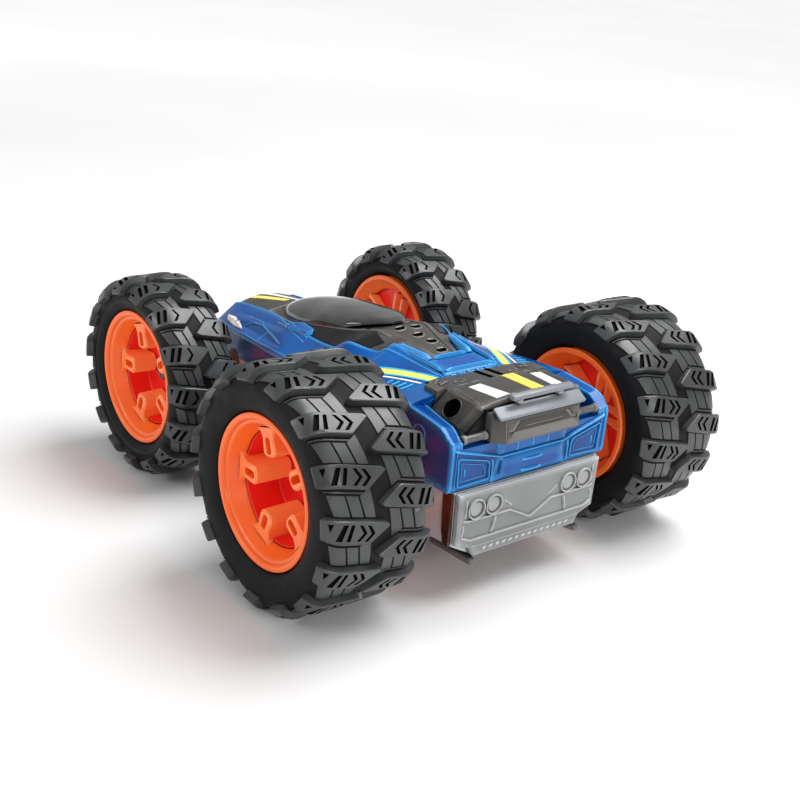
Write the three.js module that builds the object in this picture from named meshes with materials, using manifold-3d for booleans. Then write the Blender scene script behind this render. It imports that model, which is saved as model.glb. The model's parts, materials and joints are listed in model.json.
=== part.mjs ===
// A double-sided radio-controlled stunt car: two car bodies back to back between four big wheels.
//
// Frame, in millimetres: +Z up, +X towards the end with the grey bumper and the engine deck (the
// rear of the blue car), -Y the blue car's left side. The origin is on the ground under the
// middle of the car. Wheels, gears and shafts turn about axes that run along Y.

import * as THREE from 'three';
import { mergeVertices } from 'three/addons/utils/BufferGeometryUtils.js';
import Module from 'manifold-3d';

const wasm = await Module();
wasm.setup();

// ---------------------------------------------------------------- driving dimensions

const GAP = 0.3;
const MID_Z = 55;
const REAR_AXLE_X = 72.85;
const FRONT_AXLE_X = -76.45;

const REAR_WHEEL = { radius: 55, width: 50.4, lipY: 117.8, discDepth: 25, lugPhase: -91.2 };
const FRONT_WHEEL = { radius: 51.4, width: 31.8, lipY: 96.9, discDepth: 20, lugPhase: -87.1 };

const LUGS_PER_ROW = 15;
const LUG_STAGGER = 7.7;
const LUG_HALF_ANGLE = 4.9;
const LUG_HEIGHT = 3.6;
const LUG_SLANT = 5.2;
const TREAD_OVERHANG = 3.2;

const RIM_LIP_RADIUS = 34.4;
const RIM_BARREL_RADIUS = 33;
const RIM_WAIST_RADIUS = 26.5;
const RIM_WALL_DEPTH = 9.2;
const DISC_THICKNESS = 2.6;
const HUB_BOSS_HEIGHT = 2;
const SCREW_HEAD_HEIGHT = 2.3;
const POST_COUNT = 5;
const POST_FRONT_DEPTH = 7;
const POST_INNER_RADIUS = 13.5;
const POST_WIDTH = 9;

const AXLE_RADIUS = 2;
const PIN_RADIUS = 1;

const GEAR_MODULE = 1;
const PINION_TEETH = 8;
const COMPOUND_LARGE_TEETH = 20;
const COMPOUND_SMALL_TEETH = 8;
const AXLE_GEAR_TEETH = 24;

const WALL = 2;
const BUMPER_X = 113;

// Places along Y of the drive on one side, from the middle of the car outwards.
const DRIVE = {
  motor: [3, 27.2],
  plate: [28, 29.5],
  firstMesh: [31, 34.4],
  secondMesh: [36, 41],
  caseEnd: 43.2,
};

// ---------------------------------------------------------------- materials

function material(colour, roughness, metalness = 0) {
  return new THREE.MeshStandardMaterial({ color: colour, roughness, metalness });
}

const blueShell = material(0x0f5ab4, 0.25);
const greyShell = material(0xa5a8a8, 0.45);
const blackPlastic = material(0x2c2c2a, 0.5);
const glossBlack = material(0x1b1b1c, 0.12);
const paleGrey = material(0x9ba0a5, 0.4);
const brownGrey = material(0x8b827c, 0.5);
const lensPlastic = material(0xd8dcda, 0.2);
const tyreRubber = material(0x3c4042, 0.8);
const rimOrange = material(0xf06428, 0.35);
const discRed = material(0xb91419, 0.4);
const steel = material(0xb4b6b8, 0.3, 1);
const nylon = material(0xe6e2d6, 0.5);
const motorSteel = material(0xa9acae, 0.35, 0.9);
const boardGreen = material(0x1f6b3a, 0.5);
const cellBlue = material(0x2f4f9a, 0.4);

// ---------------------------------------------------------------- solids

function bare(geometry) {
  const copy = geometry.index ? geometry.clone() : geometry;
  copy.deleteAttribute('normal');
  copy.deleteAttribute('uv');
  return mergeVertices(copy, 1e-4);
}

function signedVolume(geometry) {
  const position = geometry.attributes.position;
  const index = geometry.index.array;
  const a = new THREE.Vector3();
  const b = new THREE.Vector3();
  const c = new THREE.Vector3();
  let volume = 0;
  for (let i = 0; i < index.length; i += 3) {
    a.fromBufferAttribute(position, index[i]);
    b.fromBufferAttribute(position, index[i + 1]);
    c.fromBufferAttribute(position, index[i + 2]);
    volume += a.dot(b.cross(c)) / 6;
  }
  return volume;
}

// The same surface with shared corners, no needles of zero area, and its faces pointing out.
function outward(geometry) {
  const clean = bare(geometry);
  const index = clean.index.array;
  const flip = signedVolume(clean) < 0;
  const faces = [];
  for (let i = 0; i < index.length; i += 3) {
    const [a, b, c] = [index[i], index[i + 1], index[i + 2]];
    if (a !== b && b !== c && c !== a) {
      faces.push(a, flip ? c : b, flip ? b : c);
    }
  }
  clean.setIndex(faces);
  return clean;
}

function toSolid(geometry) {
  const clean = outward(geometry);
  const vertProperties = new Float32Array(clean.attributes.position.array);
  const triVerts = new Uint32Array(clean.index.array);
  return new wasm.Manifold(new wasm.Mesh({ numProp: 3, vertProperties, triVerts }));
}

function fromSolid(solid) {
  const mesh = solid.getMesh();
  const geometry = new THREE.BufferGeometry();
  geometry.setAttribute('position', new THREE.BufferAttribute(mesh.vertProperties, 3));
  geometry.setIndex(new THREE.BufferAttribute(mesh.triVerts, 1));
  return geometry;
}

function join(first, ...others) {
  return fromSolid(others.reduce((sum, g) => sum.add(toSolid(g)), toSolid(first)));
}

function cut(base, ...tools) {
  return fromSolid(tools.reduce((rest, g) => rest.subtract(toSolid(g)), toSolid(base)));
}

function prism(points, depth) {
  const shape = new THREE.Shape(points.map(([u, v]) => new THREE.Vector2(u, v)));
  return new THREE.ExtrudeGeometry(shape, { depth, bevelEnabled: false });
}

// Prisms whose outlines lie in XY, XZ and YZ, between two places on the third axis.
function prismZ(points, low, high) {
  return prism(points, high - low).translate(0, 0, low);
}

function prismY(points, low, high) {
  return prism(points, high - low).rotateX(Math.PI / 2).translate(0, high, 0);
}

function prismX(points, low, high) {
  const turned = prism(points, high - low).rotateY(Math.PI / 2).rotateX(Math.PI / 2);
  return turned.translate(low, 0, 0);
}

function box([x0, x1], [y0, y1], [z0, z1]) {
  const geometry = new THREE.BoxGeometry(x1 - x0, y1 - y0, z1 - z0);
  return geometry.translate((x0 + x1) / 2, (y0 + y1) / 2, (z0 + z1) / 2);
}

function rod(x, z, radius, [y0, y1], sides = 16) {
  const geometry = new THREE.CylinderGeometry(radius, radius, y1 - y0, sides);
  return geometry.translate(x, (y0 + y1) / 2, z);
}

function post(x, y, radius, [z0, z1], sides = 16) {
  const geometry = new THREE.CylinderGeometry(radius, radius, z1 - z0, sides);
  return geometry.rotateX(Math.PI / 2).translate(x, y, (z0 + z1) / 2);
}

// A ring about the Y axis from a closed outline of [radius, y] corners.
function ringY(outline, segments) {
  const points = [...outline, outline[0]].map(([r, y]) => new THREE.Vector2(r, y));
  return outward(new THREE.LatheGeometry(points, segments));
}

// A solid through outlines in YZ planes; each station is { x, ring } with equally many corners.
function loftX(stations) {
  const positions = [];
  const faces = [];
  const count = stations[0].ring.length;
  const toPoints = (ring) => ring.map(([y, z]) => new THREE.Vector2(y, z));
  const clockwise = THREE.ShapeUtils.isClockWise(toPoints(stations[0].ring));
  const rings = stations.map(({ ring }) => (clockwise ? [...ring].reverse() : ring));
  stations.forEach(({ x }, s) => {
    for (const [y, z] of rings[s]) {
      positions.push(x, y, z);
    }
  });
  for (let s = 0; s + 1 < stations.length; s += 1) {
    for (let i = 0; i < count; i += 1) {
      const a = s * count + i;
      const b = s * count + ((i + 1) % count);
      faces.push(a, b, a + count, b, b + count, a + count);
    }
  }
  for (const s of [0, stations.length - 1]) {
    for (const [a, b, c] of THREE.ShapeUtils.triangulateShape(toPoints(rings[s]), [])) {
      const base = s * count;
      faces.push(base + a, base + (s ? b : c), base + (s ? c : b));
    }
  }
  const geometry = new THREE.BufferGeometry();
  geometry.setAttribute('position', new THREE.Float32BufferAttribute(positions, 3));
  geometry.setIndex(faces);
  return outward(geometry);
}

// How far a ring's corners on the middle line stand off it, so that its two halves don't meet.
const NEAR_MIDDLE = 0.01;

// A ring symmetric about Y = 0 from the corners of its +Y half, first and last off the axis.
function mirrored(half) {
  return [...half, ...half.map(([y, z]) => [-y, z]).reverse()];
}

// ---------------------------------------------------------------- the scene

const car = new THREE.Group();

function add(name, geometry, finish, parent = car) {
  const mesh = new THREE.Mesh(geometry, finish);
  mesh.name = name;
  parent.add(mesh);
  return mesh;
}

// ---------------------------------------------------------------- wheels

// A wheel is drawn with its outer rim plane at y = 0 and the car towards +y.

function tyreCarcass({ radius, width }) {
  const crown = radius - LUG_HEIGHT;
  const bead = RIM_LIP_RADIUS + GAP;
  return ringY([
    [bead, 0.4],
    [bead + 6, -1.9],
    [crown - 4.5, -2.1],
    [crown, 2.5],
    [crown, width - 3.5],
    [crown - 6, width + 0.4],
    [bead, width - 0.4],
  ], 2 * LUGS_PER_ROW);
}

// One lug: a slanted block whose flat top has its corners on the tyre's outer radius.
function lug({ radius }, angle, yOuter, yInner) {
  const halfWidth = radius * Math.sin(THREE.MathUtils.degToRad(LUG_HALF_ANGLE));
  const top = radius * Math.cos(THREE.MathUtils.degToRad(LUG_HALF_ANGLE));
  const lean = LUG_SLANT / 2;
  const outline = [
    [-halfWidth + lean, yOuter],
    [halfWidth - 0.2, yOuter],
    [halfWidth - 0.2 - lean, yInner],
    [-halfWidth, yInner],
  ];
  const block = prismZ(outline, radius - LUG_HEIGHT - 3, top);
  block.applyMatrix4(new THREE.Matrix4().makeRotationY(THREE.MathUtils.degToRad(90 - angle)));
  return block;
}

function tyre(wheel) {
  const tread = [-TREAD_OVERHANG, wheel.width];
  const middle = (tread[0] + tread[1]) / 2;
  const lugs = [];
  for (let i = 0; i < LUGS_PER_ROW; i += 1) {
    const angle = wheel.lugPhase + (i * 360) / LUGS_PER_ROW;
    lugs.push(lug(wheel, angle, tread[0], middle - 0.4));
    lugs.push(lug(wheel, angle + LUG_STAGGER, middle + 0.4, tread[1]));
  }
  return join(tyreCarcass(wheel), ...lugs);
}

function rimPost({ discDepth }, angle) {
  const half = POST_WIDTH / 2;
  const reach = RIM_WAIST_RADIUS + 1.5;
  const block = prismY([
    [POST_INNER_RADIUS, -half + 1],
    [reach, -half],
    [reach, half],
    [POST_INNER_RADIUS, half - 1],
  ], POST_FRONT_DEPTH, discDepth - GAP);
  return block.rotateY(-angle);
}

function rim(wheel) {
  const { width, discDepth } = wheel;
  const waistEnd = Math.min(discDepth + 8, width - 6);
  const barrel = ringY([
    [RIM_LIP_RADIUS, 0],
    [RIM_LIP_RADIUS, 1.6],
    [RIM_BARREL_RADIUS, 2.6],
    [RIM_BARREL_RADIUS, width - 2.6],
    [RIM_LIP_RADIUS, width - 1.6],
    [RIM_LIP_RADIUS, width],
    [RIM_LIP_RADIUS - 3, width],
    [RIM_WAIST_RADIUS, waistEnd],
    [RIM_WAIST_RADIUS, RIM_WALL_DEPTH],
    [RIM_LIP_RADIUS - 4, 1.6],
    [RIM_LIP_RADIUS - 3, 0],
  ], 24);
  const posts = [];
  for (let i = 0; i < POST_COUNT; i += 1) {
    posts.push(rimPost(wheel, (i + 0.5) * ((2 * Math.PI) / POST_COUNT)));
  }
  return join(barrel, ...posts);
}

function hubDisc({ width, discDepth }) {
  const bore = AXLE_RADIUS + GAP;
  const bossFront = discDepth - HUB_BOSS_HEIGHT;
  const discBack = discDepth + DISC_THICKNESS;
  return ringY([
    [bore, bossFront],
    [6.5, bossFront],
    [6.5, discDepth],
    [RIM_WAIST_RADIUS - GAP, discDepth],
    [RIM_WAIST_RADIUS - GAP, discBack],
    [6, discBack],
    [5, width - 2],
    [bore, width - 2],
  ], 18);
}

function wheelScrew({ discDepth }) {
  const seat = discDepth - HUB_BOSS_HEIGHT - GAP;
  return rod(0, 0, 4, [seat - SCREW_HEAD_HEIGHT, seat], 12);
}

function addWheel(name, wheel, axleX, side) {
  const group = new THREE.Group();
  group.position.set(axleX, side * wheel.lipY, wheel.radius);
  group.rotation.z = side > 0 ? Math.PI : 0;
  car.add(group);
  add(`tyre_${name}`, tyre(wheel), tyreRubber, group);
  add(`rim_${name}`, rim(wheel), rimOrange, group);
  add(`hub_disc_${name}`, hubDisc(wheel), discRed, group);
  add(`wheel_screw_${name}`, wheelScrew(wheel), blackPlastic, group);
}

addWheel('rear_left', REAR_WHEEL, REAR_AXLE_X, -1);
addWheel('rear_right', REAR_WHEEL, REAR_AXLE_X, 1);
addWheel('front_left', FRONT_WHEEL, FRONT_AXLE_X, -1);
addWheel('front_right', FRONT_WHEEL, FRONT_AXLE_X, 1);

// ---------------------------------------------------------------- drive

const pitchRadius = (teeth) => (GEAR_MODULE * teeth) / 2;
const COMPOUND_X = REAR_AXLE_X - pitchRadius(AXLE_GEAR_TEETH) - pitchRadius(COMPOUND_SMALL_TEETH);
const MOTOR_X = COMPOUND_X - pitchRadius(COMPOUND_LARGE_TEETH) - pitchRadius(PINION_TEETH);

// A spur gear's outline; phase is the angle, in teeth, from +X to the middle of a tooth.
function gearOutline(teeth, phase) {
  const tip = pitchRadius(teeth) + 0.65 * GEAR_MODULE;
  const root = pitchRadius(teeth) - 1.05 * GEAR_MODULE;
  const pitch = (2 * Math.PI) / teeth;
  const outline = [];
  for (let i = 0; i < teeth; i += 1) {
    const middle = (i + phase) * pitch;
    for (const [radius, turn] of [[root, -0.29], [tip, -0.1], [tip, 0.1], [root, 0.29]]) {
      const angle = middle + turn * pitch;
      outline.push([radius * Math.cos(angle), radius * Math.sin(angle)]);
    }
  }
  return outline;
}

function gear(x, teeth, phase, span) {
  return prismY(gearOutline(teeth, phase), ...span).translate(x, 0, MID_Z);
}

function motor() {
  const [start, end] = DRIVE.motor;
  const can = rod(MOTOR_X, MID_Z, 10, [start, end], 24);
  const flats = [-1, 1].map((s) => {
    const z = MID_Z + s * 12.5;
    return box([MOTOR_X - 12, MOTOR_X + 12], [0, 30], [z - 5, z + 5]);
  });
  return cut(can, ...flats, rod(MOTOR_X, MID_Z, PIN_RADIUS + GAP, [end - 6, end + 1], 12));
}

function motorPinion() {
  const shaft = rod(MOTOR_X, MID_Z, PIN_RADIUS, [DRIVE.motor[1] - 5, DRIVE.firstMesh[1] + 0.8], 12);
  return join(gear(MOTOR_X, PINION_TEETH, 0, DRIVE.firstMesh), shaft);
}

function compoundGear() {
  const wheel = gear(COMPOUND_X, COMPOUND_LARGE_TEETH, 0.5, DRIVE.firstMesh);
  const pinion = gear(COMPOUND_X, COMPOUND_SMALL_TEETH, 0, [DRIVE.firstMesh[1] - 0.5, DRIVE.secondMesh[1]]);
  const bore = rod(COMPOUND_X, MID_Z, PIN_RADIUS + GAP, [DRIVE.firstMesh[0] - 1, DRIVE.caseEnd], 12);
  return cut(join(wheel, pinion), bore);
}

function axleGear() {
  const bore = rod(REAR_AXLE_X, MID_Z, AXLE_RADIUS + GAP, [DRIVE.plate[0], DRIVE.caseEnd], 12);
  return cut(gear(REAR_AXLE_X, AXLE_GEAR_TEETH, 0.5, DRIVE.secondMesh), bore);
}

// The outline of the gear case seen along Y, grown outwards by an amount.
function caseOutline(grow) {
  const [x0, x1] = [MOTOR_X - 7 - grow, REAR_AXLE_X + 13.2 + grow];
  const high = 13.2 + grow;
  const low = 8 + grow;
  return [
    [x0, MID_Z - low],
    [x0, MID_Z + low],
    [COMPOUND_X - 8, MID_Z + high],
    [x1 - 4, MID_Z + high],
    [x1, MID_Z + low],
    [x1, MID_Z - low],
    [x1 - 4, MID_Z - high],
    [COMPOUND_X - 8, MID_Z - high],
  ];
}

function gearCase() {
  const outside = prismY(caseOutline(1.5), DRIVE.plate[1] + GAP, DRIVE.caseEnd);
  const inside = prismY(caseOutline(0), DRIVE.plate[1] - 1, DRIVE.caseEnd - 1.5);
  const span = [DRIVE.caseEnd - 3, DRIVE.caseEnd + 1];
  const axleHole = rod(REAR_AXLE_X, MID_Z, AXLE_RADIUS + GAP, span, 16);
  const pinHole = rod(COMPOUND_X, MID_Z, PIN_RADIUS + GAP, span, 12);
  return cut(outside, inside, axleHole, pinHole);
}

function gearPlate() {
  const span = [DRIVE.plate[0] - 1, DRIVE.plate[1] + 1];
  return cut(
    prismY(caseOutline(1.5), ...DRIVE.plate),
    rod(MOTOR_X, MID_Z, PIN_RADIUS + 0.8, span, 12),
    rod(COMPOUND_X, MID_Z, PIN_RADIUS + GAP, span, 12),
    rod(REAR_AXLE_X, MID_Z, AXLE_RADIUS + GAP, span, 16),
  );
}

function addDrive(name, side) {
  const group = new THREE.Group();
  group.scale.y = side;
  car.add(group);
  const axleEnd = REAR_WHEEL.lipY - REAR_WHEEL.discDepth + 1;
  add(`motor_${name}`, motor(), motorSteel, group);
  add(`motor_pinion_${name}`, motorPinion(), nylon, group);
  add(`compound_gear_${name}`, compoundGear(), nylon, group);
  add(`compound_pin_${name}`, rod(COMPOUND_X, MID_Z, PIN_RADIUS, [28.2, 43], 12), steel, group);
  add(`axle_gear_${name}`, axleGear(), nylon, group);
  add(`rear_axle_${name}`, rod(REAR_AXLE_X, MID_Z, AXLE_RADIUS, [28.2, axleEnd], 12), steel, group);
  add(`gear_case_${name}`, gearCase(), blackPlastic, group);
  add(`gear_plate_${name}`, gearPlate(), blackPlastic, group);
}

addDrive('left', -1);
addDrive('right', 1);

// ---------------------------------------------------------------- the blue upper body

// Stations of the blue shell from nose to tail. Across each one, from the middle outwards: a
// sunk floor at floorZ out to floorY, a step up to edgeZ, a slope to the shoulder, and a side
// down to the parting line.
const BLUE = [
  { x: -112, floorY: 15, floorZ: 66, edgeZ: 68.5, shoulderY: 26, shoulderZ: 61, sideY: 27 },
  { x: -107, floorY: 16.5, floorZ: 70, edgeZ: 72.5, shoulderY: 30, shoulderZ: 64, sideY: 31 },
  { x: -88, floorY: 16.3, floorZ: 72.4, edgeZ: 75, shoulderY: 36, shoulderZ: 67, sideY: 37 },
  { x: -60, floorY: 20, floorZ: 75.2, edgeZ: 78.5, shoulderY: 38.5, shoulderZ: 68.3, sideY: 39.5 },
  { x: -42, floorY: 25.5, floorZ: 76.4, edgeZ: 79.8, shoulderY: 40, shoulderZ: 69, sideY: 41 },
  { x: -22, floorY: 27.5, floorZ: 77.4, edgeZ: 81, shoulderY: 41.3, shoulderZ: 70.5, sideY: 42.3 },
  { x: 0, floorY: 30, floorZ: 79.4, edgeZ: 83.3, shoulderY: 43, shoulderZ: 73.5, sideY: 44 },
  { x: 18, floorY: 26, floorZ: 82, edgeZ: 86.5, shoulderY: 44, shoulderZ: 76.5, sideY: 45.2 },
  { x: 33, floorY: 19, floorZ: 86, edgeZ: 92.5, shoulderY: 45.3, shoulderZ: 80, sideY: 46.5 },
  { x: 50, floorY: 16.6, floorZ: 86, edgeZ: 90.4, shoulderY: 46.7, shoulderZ: 83.5, sideY: 47.5 },
  { x: 69, floorY: 16.6, floorZ: 86, edgeZ: 88.4, shoulderY: 47.9, shoulderZ: 85, sideY: 48.4 },
  { x: 69.5, floorY: 29.7, floorZ: 86, edgeZ: 88.2, shoulderY: 47.9, shoulderZ: 85, sideY: 48.4 },
  { x: 82, floorY: 29.7, floorZ: 86, edgeZ: 88, shoulderY: 48.6, shoulderZ: 85.6, sideY: 48.8 },
  { x: 82.5, floorY: 39, floorZ: 74.5, edgeZ: 84, shoulderY: 48.6, shoulderZ: 85.6, sideY: 48.8 },
  { x: 104, floorY: 42.2, floorZ: 74.5, edgeZ: 82.5, shoulderY: 49, shoulderZ: 83.6, sideY: 49 },
  { x: 111.5, floorY: 42.2, floorZ: 74.5, edgeZ: 78, shoulderY: 49.1, shoulderZ: 79, sideY: 48.9 },
  { x: 112.3, floorY: 42.2, floorZ: 74.5, edgeZ: 77.5, shoulderY: 48.8, shoulderZ: 78.3, sideY: 48.8 },
];

// The blue shell's measures at any place along X, between the stations on each side of it.
function blueAt(x) {
  const next = BLUE.findIndex((s) => s.x >= x);
  const high = BLUE[Math.max(next, 1)];
  const low = BLUE[Math.max(next, 1) - 1];
  const t = (x - low.x) / (high.x - low.x);
  const at = {};
  for (const key of Object.keys(low)) {
    at[key] = THREE.MathUtils.lerp(low[key], high[key], t);
  }
  return at;
}

function blueOuter(s) {
  return mirrored([
    [NEAR_MIDDLE, s.floorZ],
    [s.floorY, s.floorZ],
    [s.floorY + 0.1, s.edgeZ],
    [s.shoulderY, s.shoulderZ],
    [s.sideY, MID_Z + 0.2],
  ]);
}

function blueInner(s) {
  return mirrored([
    [NEAR_MIDDLE, s.floorZ - WALL],
    [s.floorY, s.floorZ - WALL],
    [s.shoulderY - WALL - 0.4, Math.min(s.shoulderZ, s.edgeZ) - WALL - 0.6],
    [s.sideY - WALL, MID_Z - 5],
  ]);
}

function axleHoles() {
  const span = [-60, 60];
  return [
    rod(REAR_AXLE_X, MID_Z, AXLE_RADIUS + 2, span, 16),
    rod(FRONT_AXLE_X, FRONT_WHEEL.radius, AXLE_RADIUS + 2, span, 16),
  ];
}

function upperShell() {
  const outer = loftX(BLUE.map((s) => ({ x: s.x, ring: blueOuter(s) })));
  const ends = [BLUE[0].x + WALL, BLUE[BLUE.length - 1].x - WALL];
  const within = BLUE.filter((s) => s.x > ends[0] && s.x < ends[1]);
  const stations = [blueAt(ends[0]), ...within.filter((s) => s.x !== 111.5), blueAt(ends[1])];
  const inner = loftX(stations.map((s) => ({ x: s.x, ring: blueInner(s) })));
  return cut(outer, inner, ...axleHoles());
}

// A panel that lies in the shell's sunk floor; crown(x) is how far its middle stands up.
function sunkPanel(places, crown) {
  return loftX(places.map((x) => {
    const s = blueAt(x);
    const edge = s.floorY - GAP;
    const ring = mirrored([
      [NEAR_MIDDLE, s.floorZ + GAP],
      [edge, s.floorZ + GAP],
      [edge, s.edgeZ],
      [edge / 2, s.edgeZ + 0.8 * crown(x)],
      [NEAR_MIDDLE, s.edgeZ + crown(x)],
    ]);
    return { x, ring };
  }));
}

const HOOD_PLACES = [-106, -98, -88, -75.4];

function hoodCrown(x) {
  return 3.4 - 0.02 * (x - HOOD_PLACES[0]);
}

// The canopy: half-width, the height of its lower edge and of its ridge along X.
const CANOPY = [
  { x: -74, halfWidth: 4, edgeZ: 78.4, ridgeZ: 79.5 },
  { x: -71, halfWidth: 9.5, edgeZ: 78, ridgeZ: 82 },
  { x: -66, halfWidth: 13.5, edgeZ: 77.8, ridgeZ: 84.8 },
  { x: -58, halfWidth: 16.5, edgeZ: 78.6, ridgeZ: 88 },
  { x: -45, halfWidth: 19, edgeZ: 81, ridgeZ: 91.5 },
  { x: -28, halfWidth: 20, edgeZ: 84.6, ridgeZ: 94.5 },
  { x: -12, halfWidth: 19.3, edgeZ: 88, ridgeZ: 96 },
  { x: 2, halfWidth: 16.5, edgeZ: 91, ridgeZ: 96.8 },
  { x: 12, halfWidth: 10, edgeZ: 93.6, ridgeZ: 96.8 },
  { x: 18, halfWidth: 4, edgeZ: 95, ridgeZ: 96.4 },
];

function canopy() {
  return loftX(CANOPY.map(({ x, halfWidth, edgeZ, ridgeZ }) => {
    const half = [];
    const steps = 5;
    for (let i = 0; i <= steps; i += 1) {
      const angle = (i / steps) * (Math.PI / 2);
      const y = Math.max(halfWidth * Math.cos(angle), NEAR_MIDDLE);
      half.push([y, edgeZ + (ridgeZ - edgeZ) * Math.sin(angle)]);
    }
    return { x, ring: mirrored(half) };
  }));
}

// The black surround carries the canopy, the side windows and the vented tail.
const SURROUND = [
  { x: -75, top: 77.2, halfTop: 12 },
  { x: -66, top: 77.4, halfTop: 15 },
  { x: -58, top: 78.2, halfTop: 17 },
  { x: -45, top: 80.6, halfTop: 19.5 },
  { x: -28, top: 84.2, halfTop: 20.5 },
  { x: -12, top: 87.6, halfTop: 19.8 },
  { x: 2, top: 90.6, halfTop: 17 },
  { x: 12, top: 93.2, halfTop: 14 },
  { x: 18, top: 94.6, halfTop: 13 },
];
const TAIL = [
  { x: 32.5, top: 93.2, halfTop: 9, halfEdge: 15.2 },
  { x: 50.4, top: 90.6, halfTop: 6, halfEdge: 9.8 },
];

function surround() {
  const front = SURROUND.map(({ x, top, halfTop }) => {
    const s = blueAt(x);
    const edge = s.floorY - GAP;
    return {
      x,
      ring: mirrored([
        [NEAR_MIDDLE, s.floorZ + GAP],
        [edge, s.floorZ + GAP],
        [edge, Math.min(s.edgeZ, top) - 0.3],
        [Math.min(halfTop, edge - 1), top],
        [NEAR_MIDDLE, top],
      ]),
    };
  });
  const tail = TAIL.map(({ x, top, halfTop, halfEdge }) => ({
    x,
    ring: mirrored([
      [NEAR_MIDDLE, 86 + GAP],
      [halfEdge, 86 + GAP],
      [halfEdge, top - 1.6],
      [halfTop, top],
      [NEAR_MIDDLE, top],
    ]),
  }));
  return loftX([...front, ...tail]);
}

function roofFrame() {
  return prismZ([
    [33, 16],
    [68.6, 16],
    [68.6, -16],
    [33, -16],
    [51, -10.4],
    [51, 10.4],
  ], 86 + GAP, 91);
}

function rearDeck() {
  const stations = [
    { x: 69.9, foot: 28.7, half: 29.2, low: 86.4, neck: 87, high: 89 },
    { x: 81.7, foot: 28.7, half: 29.2, low: 86.4, neck: 87.2, high: 90 },
    { x: 82, foot: 28.7, half: 29.2, low: 88.4, neck: 88.7, high: 90 },
    { x: 83, foot: 26.8, half: 27, low: 88.4, neck: 88.8, high: 90 },
    { x: 86, foot: 26.8, half: 28.6, low: 88.4, neck: 90.5, high: 92.8 },
    { x: 108, foot: 26.8, half: 31, low: 88.4, neck: 90.5, high: 93 },
  ];
  return loftX(stations.map(({ x, foot, half, low, neck, high }) => ({
    x,
    ring: mirrored([[foot - 1, low], [foot, neck], [half, neck + 0.5], [half, high - 1], [half - 1.5, high]]),
  })));
}

const BLOCK = { half: 19.8, flangeHalf: 27.4, z: [75.2, 88] };

// A block between the ducts that ends in a wider flange with bevelled corners and a sloping top.
function rearBlock() {
  const { half, flangeHalf, z } = BLOCK;
  const side = [[109.3, half], [109.3, flangeHalf], [113.6, flangeHalf], [118.4, flangeHalf - 4.8]];
  const opposite = side.map(([x, y]) => [x, -y]).reverse();
  const plan = prismZ([[84, -half], [84, half], ...side, ...opposite], ...z);
  const slope = prismY([[111, z[1]], [119, z[1] - 4.8], [119, z[1] + 1], [111, z[1] + 1]], -40, 40);
  return cut(plan, slope);
}

function spoilerStrip() {
  return prismY([
    [111.4, 89.4],
    [112.2, 90.7],
    [116.6, 88],
    [115.9, 86.7],
  ], -26, 26);
}

function rearBar() {
  const bar = prismY([
    [112.4, 94.2],
    [112.4, 95.8],
    [113.5, 96.9],
    [115.8, 96.9],
    [116.9, 95.8],
    [116.9, 94.2],
    [115.8, 93.2],
    [113.5, 93.2],
  ], -18.2, 18.2);
  const legs = [-1, 1].map((side) => box([108.3, 113.6], [12.5 * side - 1.5, 12.5 * side + 1.5], [91.4, 94]));
  return join(bar, ...legs);
}

const DUCT = { x: [84, 105], holeX: 94, holeRadius: 4.7 };

function duct() {
  const block = prismX([
    [22.6, 75.2],
    [22.6, 88],
    [27.4, 88],
    [27.4, 89.8],
    [29.5, 90],
    [38.3, 80.6],
    [36.3, 75.2],
  ], ...DUCT.x);
  const hole = new THREE.CylinderGeometry(DUCT.holeRadius, DUCT.holeRadius, 16, 20);
  hole.rotateX(Math.PI / 4).translate(DUCT.holeX, 34, 85.3);
  return cut(block, hole);
}

const LAMP_CLEARANCE = 0.9;

function headlamp() {
  const places = [-97, -88, -80, -75];
  return loftX(places.map((x, i) => {
    const s = blueAt(x);
    const slope = (s.shoulderZ - s.edgeZ) / (s.shoulderY - s.floorY);
    const onSlope = (y) => s.edgeZ + slope * (y - s.floorY) + LAMP_CLEARANCE;
    const [inner, outer] = [29 + i, 33 + 0.3 * i];
    const ring = [
      [inner, onSlope(inner)],
      [outer, onSlope(outer)],
      [outer, onSlope(outer) + 1.2],
      [inner, onSlope(inner) + 1.2],
    ];
    return { x, ring };
  }));
}

add('upper_shell', upperShell(), blueShell);
add('hood_panel', sunkPanel(HOOD_PLACES, hoodCrown), blackPlastic);
add('canopy', canopy(), glossBlack);
add('canopy_surround', surround(), blackPlastic);
add('roof_frame', roofFrame(), blueShell);
add('rear_deck', rearDeck(), blackPlastic);
add('rear_block', rearBlock(), blackPlastic);
add('spoiler_strip', spoilerStrip(), paleGrey);
add('rear_bar', rearBar(), paleGrey);

for (const [name, side] of [['left', -1], ['right', 1]]) {
  const group = new THREE.Group();
  group.scale.y = side;
  car.add(group);
  add(`duct_${name}`, duct(), blackPlastic, group);
  add(`strut_${name}`, rod(109.6, 78, 2, [BLOCK.flangeHalf + GAP, 41.9], 12), brownGrey, group);
  add(`headlamp_${name}`, headlamp(), lensPlastic, group);
}

// ---------------------------------------------------------------- the grey lower body

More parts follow.
